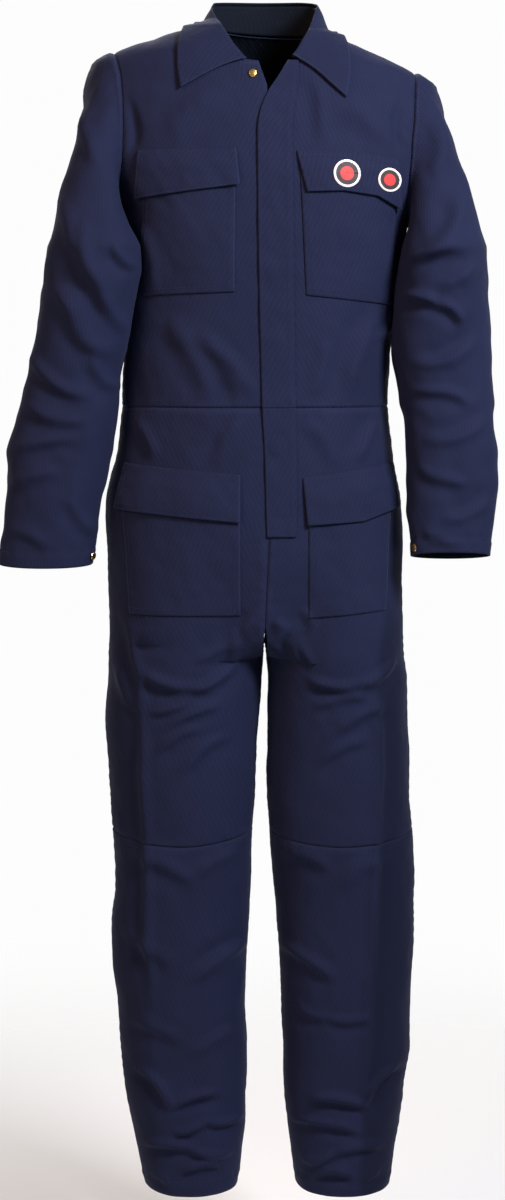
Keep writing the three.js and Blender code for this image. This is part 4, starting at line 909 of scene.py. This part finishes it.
def stitch_run(points, normals):
    """Stitches along a line on the cloth: each a small lens lying on it."""
    at = np.concatenate([[0], np.cumsum(np.linalg.norm(np.diff(points, axis=0), axis=-1))])
    count = int(at[-1] / STITCH_STEP)
    if count < 2:
        return
    where = (np.arange(count) + 0.5) * STITCH_STEP

    def at_length(values, w):
        return np.stack([np.interp(w, at, values[:, k]) for k in range(3)], -1)

    mid, n = at_length(points, where), at_length(normals, where)
    run = at_length(points, where + 1) - at_length(points, where - 1)
    run /= np.maximum(np.linalg.norm(run, axis=-1, keepdims=True), 1e-9)
    side = np.cross(run, n)
    mid = mid + n * 0.12
    half, thick = STITCH_LONG / 2, STITCH_THICK
    along_run, across_run = run * half, side * thick
    corners = [mid - along_run, mid + across_run, mid + along_run, mid - across_run, mid + n * thick]
    stitches.append(np.stack(corners, 1))


def finish_stitches():
    verts = np.concatenate(stitches).reshape(-1, 3)
    base = np.arange(len(verts) // 5)[:, None] * 5
    tri = np.array([[0, 1, 4], [1, 2, 4], [2, 3, 4], [3, 0, 4], [1, 0, 3], [1, 3, 2]])
    faces = (base[:, None, :] + tri[None]).reshape(-1, 3)
    make("topstitching", verts, faces.tolist(), THREAD)


def seam_line(p, normals, d, level, axis):
    """Line at a distance d from an edge, read along every row (axis 1) or column (axis 0)."""
    lines = []
    for values in (p, normals):
        if axis == 0:
            values, dist = np.swapaxes(values, 0, 1), np.swapaxes(d, 0, 1)
        else:
            dist = d
        out = []
        for row, dd in zip(values, dist):
            order = np.argsort(dd)
            out.append([np.interp(level, dd[order], row[order, k]) for k in range(3)])
        lines.append(np.array(out))
    return lines


def edge_distances(over, up):
    """Distance of each point of a grid from the four edges of the grid."""
    return {"start": over, "end": over[:, -1:] - over, "bottom": up, "top": up[-1:, :] - up}


def edge_wear(edges, sides, width):
    """Wear of the turned edges, which fades over a width."""
    wear = np.zeros(edges["start"].shape)
    for side in sides:
        wear = np.maximum(wear, np.exp(-((edges[side] / width) ** 2)))
    return wear


def stitch_edges(p, normals, edges, stitched):
    for side, levels in stitched:
        axis = 1 if side in ("start", "end") else 0
        for level in levels:
            stitch_run(*seam_line(p, normals, edges[side], level, axis))


def panel(name, relief, sides, hem=None, stitched=(), painted_shade=None):
    """Raise the folds on a panel, sink its seams, and make its wall and its stitching."""
    p, normals, closed = panels[name]
    over, up = arc(p, 1), arc(p, 0)
    edges = edge_distances(over, up)
    run = {"start": up, "end": up, "bottom": over, "top": over}
    height = unevenness(p) + relief
    wear = np.zeros(p.shape[:2])
    for side in sides:
        d = edges[side]
        height = height + pucker(d, run[side], len(name) * 0.7)
        wear = np.maximum(wear, 0.8 * np.exp(-(((d - 4.5) / 3.2) ** 2)) * (0.6 + 0.4 * noise(p, 12)))
    if hem is not None:
        d = edges["top"]
        height = height + 0.9 * smooth((hem - d) / 1.5) - 0.5 * np.exp(-(((d - hem) / 2) ** 2))
        height = height + 0.5 * np.sin(over / 3.1) * np.exp(-(((d - hem) / 5) ** 2))
        wear = np.maximum(wear, np.exp(-((d / 2.5) ** 2)))
        line, way = seam_line(p + normals * height[..., None], normals, d, hem, 0)
        stitch_run(line, way)
    p = p + normals * height[..., None]
    stitch_edges(p, normals, edges, stitched)
    obj = cloth(name, p, normals, WALL, closed, wear, np.stack([over, up], -1), painted_shade=painted_shade)
    width, length, area = flat_size(p)
    return obj, (width * 1.03, length * 1.02), area


def declare(result):
    obj, (w, l), area = result
    area = min(max(area, 0.31 * w * l), w * l)


SEWN = ("start", "end", "bottom", "top")
WORD = {-1: "right", 1: "left"}
fronts, backs = {}, {}
for sign in WORD:
    fronts[sign] = bodice_half(sign, -1, NECK[sign], EDGE[sign]["x"], ARMHOLE_FRONT[sign])
    back_neck = [(sign * x, Z_NECK) for x in (0, 30, 58, 80)]
    backs[sign] = bodice_half(sign, 1, back_neck, back_middle, ARMHOLE_BACK)
back = np.concatenate([backs[-1][:, ::-1], backs[1][:, 1:]], axis=1)


def panel_relief(p, folds, ends):
    """Folds of one side of the suit, which die away at the seams that turn the corner."""
    x, z = p[..., 0], p[..., 2]
    if folds == "front":
        height = front_relief(x, z)
    else:
        place = np.stack([x, np.zeros_like(x) + 900, z], -1)
        height = GAIN[folds] * fold_height(FOLDS[folds], x, z, noise(place, 40)) + 0.25 * noise(place, 9)
    over = arc(p, 1)
    if "end" in ends:
        height = height * smooth((over[:, -1:] - over) / SEAM_FADE)
    if "start" in ends:
        height = height * smooth(over / SEAM_FADE)
    if "top" in ends:
        up = arc(p, 0)
        height = height * smooth((up[-1:, :] - up) / SEAM_FADE)
    return height


def sleeve_base(sign):
    up = fronts[sign][BODY_ROWS:, -1]
    down = backs[sign][BODY_ROWS:, -1]
    return sleeve_grid(sign, np.concatenate([up, down[::-1][1:-1]]))


panels = {}


def add_panel(name, p, closed=False):
    panels[name] = (p, grid_normals(p, closed), closed)


add_panel("bodice_back", back)
for sign, word in WORD.items():
    add_panel("bodice_front_" + word, fronts[sign])
    add_panel("sleeve_" + word, sleeve_base(sign), True)
    add_panel("trouser_front_" + word, trouser_panel(upper_heights(), sign, -1))
    add_panel("trouser_shin_" + word, trouser_panel(lower_heights(), sign, -1))
    whole = np.concatenate([upper_heights()[:-1], lower_heights()])
    add_panel("trouser_back_" + word, trouser_panel(whole, sign, 1))
weld_normals(panels)

BODICE_LINES = [("bottom", (3, 9)), ("end", (4,))]

for word in WORD.values():
    name = "bodice_front_" + word
    relief = panel_relief(panels[name][0], "front", ("end", "top"))
    made = panel(name, relief, ("end", "bottom", "top"), stitched=BODICE_LINES)
    declare(made)
relief = panel_relief(back, "back", ("start", "end", "top"))
made = panel("bodice_back", relief, SEWN, stitched=[*BODICE_LINES, ("start", (4,))])
declare(made)

for word in WORD.values():
    name = "sleeve_" + word
    p, normals, closed = panels[name]
    facing = smooth(0.5 - normals[..., 1] / 0.5)
    x, z = p[..., 0], p[..., 2]
    warp = noise(p, 40)
    relief = fold_height(FOLDS["arm_" + word + "_front"], x, z, warp) * facing
    relief += fold_height(FOLDS["arm_" + word + "_back"], x, z, warp) * (1 - facing)
    from_head, to_hem = arc(p, 0), arc(p, 0)[-1:, :] - arc(p, 0)
    relief = GAIN["arm"] * relief * smooth(from_head / 20) * smooth((to_hem + 6) / 22)
    relief += 0.8 * noise(p, 20) * smooth(from_head / 30) * smooth(to_hem / 30)
    gap, _ = torso_distance(p)
    relief = np.where(relief < 0, relief, relief * smooth((gap - 3) / 8))
    made = panel(name, relief, ("bottom",), hem=19, stitched=[("bottom", (3, 9)), ("top", (2,))])
    declare(made)

# Topstitching of each part of the trousers: edge and places beside it
TROUSER_LINES = {
    "front": [("bottom", (3, 9)), ("top", (3,)), ("end", (4,))],
    "shin": [("bottom", (3, 9)), ("end", (4,)), ("top", (2,))],
    "back": [("bottom", (3, 9)), ("start", (4, 9)), ("end", (4,)), ("top", (2,))],
}
# Outer crease of each leg, beyond which the cloth's colour is darkened as painted shade of the side turned
# away from the light: z, x
CREASE = {
    -1: table("z x", [(-760, -168), (-892, -160), (-1064, -156), (-1260, -152), (-1545, -140)]),
    1: table("z x", [(-760, 158), (-850, 148), (-1060, 150), (-1250, 142), (-1410, 134), (-1545, 130)]),
}
# Strength of the painted shade beyond each leg's crease
CREASE_PAINTED_SHADE = {-1: 0.3, 1: 0.75}


# Painted shade on the legs below the hips: the front and shin darken beyond the crease, the back panels
# near their outer edge.
def leg_painted_shade(p, sign, part):
    over = arc(p, 1)
    z = p[..., 2]
    down = smooth((-690 - z) / 110)
    if part == "back":
        return 0.7 * CREASE_PAINTED_SHADE[sign] * smooth(1.2 - (over[:, -1:] - over) / 60) * down
    return CREASE_PAINTED_SHADE[sign] * smooth(0.5 + sign * (p[..., 0] - CREASE[sign]["x"](z)) / 14) * down


for sign, word in WORD.items():
    for part, lines in TROUSER_LINES.items():
        name = "trouser_" + part + "_" + word
        p = panels[name][0]
        relief = panel_relief(p, "back" if part == "back" else "front", ("end",))
        relief = relief * np.where(p[..., 2] < Z_RISE, smooth(arc(p, 1) / LEG_FADE), 1)
        sewn = SEWN if part == "front" else ("start", "end", "bottom")
        hem = None if part == "front" else 20
        # Each trouser piece gets the painted shade of its leg
        made = panel(name, relief, sewn, hem, lines, leg_painted_shade(p, sign, part))
        declare(made)

# Collar


def collar_line(name, at):
    return np.stack([COLLAR[name + k](at) for k in "xyz"], -1)


half = ACROSS // 2
NECK_SKIP = round(ACROSS / 12)
seam = np.concatenate([
    fronts[-1][-1][NECK_SKIP:half + 1],
    back[-1][ACROSS - half + 1:ACROSS + half],
    fronts[1][-1][:half + 1][::-1],
])
lengths = np.concatenate([[0], np.cumsum(np.linalg.norm(np.diff(seam, axis=0), axis=-1))])
stand_top = collar_line("r", lengths / lengths[-1])
stand_top[:, 2] -= 1
foot = seam + (stand_top - seam) / np.linalg.norm(stand_top - seam, axis=-1, keepdims=True) * 1.2
rise = np.linspace(0, 1, 13)[:, None, None]
stand = foot[None] + (stand_top - foot)[None] * rise


def thin_piece(name, p, amount, wear_edges=(), stitched=(), material=NAVY):
    normals = grid_normals(p)
    over, up = arc(p, 1), arc(p, 0)
    edges = edge_distances(over, up)
    inside = smooth(up / 10)
    p = p + normals * (amount * (noise(p, 30) + 0.4 * noise(p, 11)) * inside)[..., None]
    stitch_edges(p, normals, edges, stitched)
    wear = edge_wear(edges, wear_edges, 2.2)
    obj = cloth(name, p, normals, TRIM_WALL, wear=wear, material=material)
    width, length, area = flat_size(p)
    return obj, (width * 1.01, length * 1.01), area


made = thin_piece("collar_stand", stand, 0.3, material=NAVY_DEEP)
declare(made)

s = np.linspace(0, 1, 221)[None, :]
t = np.linspace(0, 1, 29)[:, None]
fold_line, free = collar_line("r", s), collar_line("l", s)
out = (free - fold_line) * np.array([1, 1, 0])
out /= np.linalg.norm(out, axis=-1, keepdims=True)
fold_line[..., 2] += LEAF_RISE * smooth(np.minimum(s, 1 - s) / 0.1)
leaf = fold_line + (free - fold_line) * t[..., None]
leaf = leaf + out * (LEAF_ROLL * np.sin(np.pi * np.sqrt(t)) * (1 - t))[..., None]
leaf[..., 2] += LEAF_ROLL * np.sin(np.pi * t)
leaf = keep_clear(leaf, LEAF_CLEAR, 1)
LOOSE = ("start", "end", "top")
made = thin_piece("collar_leaf", leaf, 0.5, LOOSE, [("top", (5,)), ("start", (5,)), ("end", (5,))])
declare(made)

# Pieces sewn on the front


def front_surface(x, height):
    """Base surface of the front over a place in the front view, and its way out."""
    z = untilted(x, height)
    left = x >= FLY["x"](z)
    step = 0.5

    def at(xx, zz):
        return np.where(left[..., None], trunk(xx, zz, 1, -1), trunk(xx, zz, -1, -1))

    n = np.cross(at(x + step, z) - at(x - step, z), at(x, z + step) - at(x, z - step))
    n /= np.linalg.norm(n, axis=-1, keepdims=True)
    base = at(x, z)
    near_side = smooth((TORSO["a"](z) - np.abs(x - TORSO["xc"](z))) / 12)
    relief = front_relief(base[..., 0], base[..., 2]) * near_side + unevenness(base)
    return base, n, relief


def angle_at(x, z):
    q = np.clip((x - TORSO["xc"](z)) / TORSO["a"](z), -1, 1)
    return np.arccos(np.sign(q) * np.abs(q) ** (TORSO["n"](z) / 2))


def laid_grid(shape, across, down):
    top, bottom = shape
    s = np.linspace(0, 1, across + 1)[None, :]
    t = np.linspace(0, 1, down + 1)[:, None]
    start, end = lerp(top[0][0], bottom[0][0], t), lerp(top[-1][0], bottom[-1][0], t)
    level = lerp(along(top, 0.5)[1], along(bottom, 0.5)[1], t)
    turn = lerp(angle_at(start, level), angle_at(end, level), s)
    x = TORSO["xc"](level) + TORSO["a"](level) * power(np.cos(turn), TORSO["n"](level))
    share = (x - start) / (end - start)
    return x, lerp(along(top, share)[1], along(bottom, share)[1], t), s + 0 * t, t + 0 * s


def laid(name, x, z, away, wall, edge_press, stitched, wear_edges=("start", "end", "top")):
    """A piece on the front: away is how far its face stands off the cloth that it is sewn to."""
    base, n, relief = front_surface(x, z)
    over, up = arc(base, 1), arc(base, 0)
    edges = edge_distances(over, up)
    rise = away + 0 * over
    for side, press in edge_press:
        rise = rise - press * np.exp(-((edges[side] / 3.2) ** 2))
    loose = np.minimum(np.minimum(edges["start"], edges["end"]), edges["top"])
    own = 0.35 * noise(base + 77, 16) * smooth(loose / 9)
    p = base + n * (relief + rise + np.maximum(own, -0.5))[..., None]
    stitch_edges(p, n, edges, stitched)
    wear = edge_wear(edges, wear_edges, 1.8)
    obj = cloth(name, p, n, wall, wear=wear, uv=np.stack([over, up], -1))
    width, length, area = flat_size(p)
    return obj, (width * 1.01, length * 1.01), area


for name, shape in LAID.items():
    x, z, s, t = laid_grid(shape, 64, 52 if "pocket" in name else 34)
    if "pocket" in name:
        bulge = 2.4 * np.sin(np.pi * s) ** 0.8 * np.sin(np.pi * np.clip(t * 1.05, 0, 1)) ** 0.7
        away = LAY_GAP + TRIM_WALL + bulge
        lines = [(side, TWIN_LINES) for side in LOOSE]
        made = laid(name, x, z, away, TRIM_WALL, [(side, 0.5) for side in LOOSE], lines)
        declare(made)
    else:
        lift = FLAP_GAP + TRIM_WALL
        curl = 1.8 * smooth((t - 0.5) / 0.5) * (0.6 + 0.4 * np.cos(2 * np.pi * s))
        away = lift + (lift + 2.2 * np.sin(np.pi * s) ** 0.8) * smooth(t / 0.45) + curl
        lines = [(side, TWIN_LINES) for side in (*LOOSE, "bottom")]
        made = laid(name, x, z, away, TRIM_WALL, [("bottom", 1.0)], lines)
        declare(made)

for name, rows in PLACKET.items():
    count = 200 if name == "placket_bodice" else 84
    z = np.linspace(rows[0][0], rows[-1][0], count)[:, None]
    cols = table("z left right", rows)
    s = np.linspace(0, 1, 21)[None, :]
    x = lerp(cols["left"](z), cols["right"](z), s)
    bump = np.zeros_like(x)
    for sx, sz in PRESSED_SNAPS:
        d = np.hypot(x - sx, z - sz)
        bump = bump + 0.9 * np.exp(-((d / 7) ** 2)) + 0.35 * np.exp(-(((d - 9) / 2.4) ** 2))
    wave = 0.5 * np.sin(z / 13 + 2 * np.sin(z / 47)) * (1 - s) ** 2
    away = LAY_GAP + TRIM_WALL + bump + 0.6 + wave
    lines = [("end", TWIN_LINES), ("start", (2,))]
    if name == "placket_trouser":
        lines.append(("top", (2, 6)))
    made = laid(name, x, z + 0 * s, away, TRIM_WALL, [("end", 0.9)], lines, ("start",))
    declare(made)

# Badges: plain round patches in place of the ones shown


def badge(name, cx, cz, radius):
    rings, spokes = 12, 64
    rad = np.linspace(0.02, 1, rings + 1)[:, None] * radius
    a = np.linspace(0, 2 * np.pi, spokes + 1)[None, :]
    x, z = cx + rad * np.cos(a), cz + rad * np.sin(a)
    base, n, relief = front_surface(x, z)
    lift = FLAP_GAP + TRIM_WALL
    away = 2 * lift + 2.2 * 0.75 + 1.6 + 0 * rad
    edge = np.exp(-(((rad / radius - 0.93) / 0.07) ** 2)) * 0.35
    p = base + n * (relief + away + edge)[..., None]
    outer, inner = p, p - n * 1.1
    verts = np.concatenate([outer.reshape(-1, 3), inner.reshape(-1, 3)])
    faces = wall_faces(rings + 1, spokes + 1, False)
    made = make(name, verts, faces.tolist(), BLACK)
    mesh = made.data
    mesh.materials.append(WHITE)
    mesh.materials.append(RED)
    index = np.zeros(len(mesh.polygons), dtype=np.int32)
    ring_of = np.arange(rings * spokes) // spokes
    index[: rings * spokes] = np.where(ring_of >= rings - 2, 1, np.where(ring_of < rings * 0.5, 2, 0))
    index[2 * rings * spokes:] = 1
    mesh.polygons.foreach_set("material_index", index)
    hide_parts(name)


for name, (x, z, radius) in BADGES.items():
    badge(name, x, z, radius)

finish_stitches()

# Snaps keep their solids and get brass
for name in ("neck_snap", "cuff_snap_right", "cuff_snap_left"):
    obj = bpy.data.objects[name]
    obj.data.materials.clear()
    obj.data.materials.append(BRASS)

# Stage, light and camera

FLOOR_RADIUS, FLOOR_LEVEL = 2.2, -1.75
FRONT_DIM, BACKDROP = 0.2, 0.98
EYE, LOOK_AT, LENS = (-0.0154, -3.0, -0.408), (-0.0154, 0, -0.743), 67.63


def plain_material(name, colour):
    m = thread_material(name, colour)
    shader = m.node_tree.nodes["Principled BSDF"]
    shader.inputs["Roughness"].default_value = 0.9
    shader.inputs["Sheen Weight"].default_value = 0
    return m


def floor_disc(radius, height):
    """A pale floor that fades out into the backdrop away from the suit."""
    bpy.ops.mesh.primitive_circle_add(vertices=96, radius=radius, fill_type="NGON", location=(0, 0, height))
    obj = bpy.context.object
    obj.name = "floor"
    m = plain_material("floor", (0.92, 0.92, 0.92))
    nodes, links = m.node_tree.nodes, m.node_tree.links
    place = nodes.new("ShaderNodeTexCoord")
    far = nodes.new("ShaderNodeVectorMath")
    far.operation = "LENGTH"
    links.new(place.outputs["Object"], far.inputs[0])
    fade = nodes.new("ShaderNodeMapRange")
    fade.interpolation_type = "SMOOTHSTEP"
    fade.inputs["From Min"].default_value = 0.25
    fade.inputs["From Max"].default_value = radius * 0.95
    fade.inputs["To Min"].default_value = 1
    fade.inputs["To Max"].default_value = 0
    links.new(far.outputs["Value"], fade.inputs["Value"])
    links.new(fade.outputs[0], nodes["Principled BSDF"].inputs["Alpha"])
    obj.data.materials.append(m)


floor_disc(FLOOR_RADIUS, FLOOR_LEVEL)


def area_light(name, place, target, size, power_w, colour=(1, 1, 1)):
    data = bpy.data.lights.new(name, "AREA")
    data.shape = "RECTANGLE"
    data.size, data.size_y = size
    data.energy = power_w
    data.color = colour
    obj = bpy.data.objects.new(name, data)
    obj.location = place
    obj.rotation_euler = (Vector(target) - Vector(place)).to_track_quat("-Z", "Y").to_euler()
    bpy.context.scene.collection.objects.link(obj)


area_light("key", (1.2, -1.5, 0.65), (0.05, 0, -0.25), (0.6, 0.6), 82, (0.98, 0.95, 1))
area_light("fill", (-1.6, -1.5, 0.6), (0, 0, -0.2), (0.9, 0.9), 26, (1, 0.52, 0.3))
area_light("leg_fill", (-1.4, -1.7, -0.9), (0, 0, -1.1), (0.9, 0.9), 4.5, (1, 0.96, 0.9))
area_light("back_light", (-0.6, 2.6, 1.8), (0, 0, -0.6), (1.6, 1.6), 60)
world = bpy.data.worlds.new("studio")
world.use_nodes = True
nodes, links = world.node_tree.nodes, world.node_tree.links
direction = nodes.new("ShaderNodeTexCoord")
split = nodes.new("ShaderNodeSeparateXYZ")
links.new(direction.outputs["Generated"], split.inputs[0])
depth = nodes.new("ShaderNodeMapRange")
depth.interpolation_type = "SMOOTHSTEP"
depth.inputs["From Min"].default_value = 0.25
depth.inputs["From Max"].default_value = 0.9
depth.inputs["To Min"].default_value = FRONT_DIM
depth.inputs["To Max"].default_value = BACKDROP
links.new(split.outputs["Y"], depth.inputs["Value"])
links.new(depth.outputs[0], nodes["Background"].inputs[1])
nodes["Background"].inputs[0].default_value = (1, 1, 1, 1)
bpy.context.scene.world = world
bpy.context.scene.view_settings.view_transform = "Standard"

camera = bpy.data.cameras.new("camera")
camera.lens, camera.sensor_width = LENS, 36
eye = bpy.data.objects.new("camera", camera)
eye.location = EYE
eye.rotation_euler = (Vector(LOOK_AT) - eye.location).to_track_quat("-Z", "Y").to_euler()
bpy.context.scene.collection.objects.link(eye)
bpy.context.scene.camera = eye
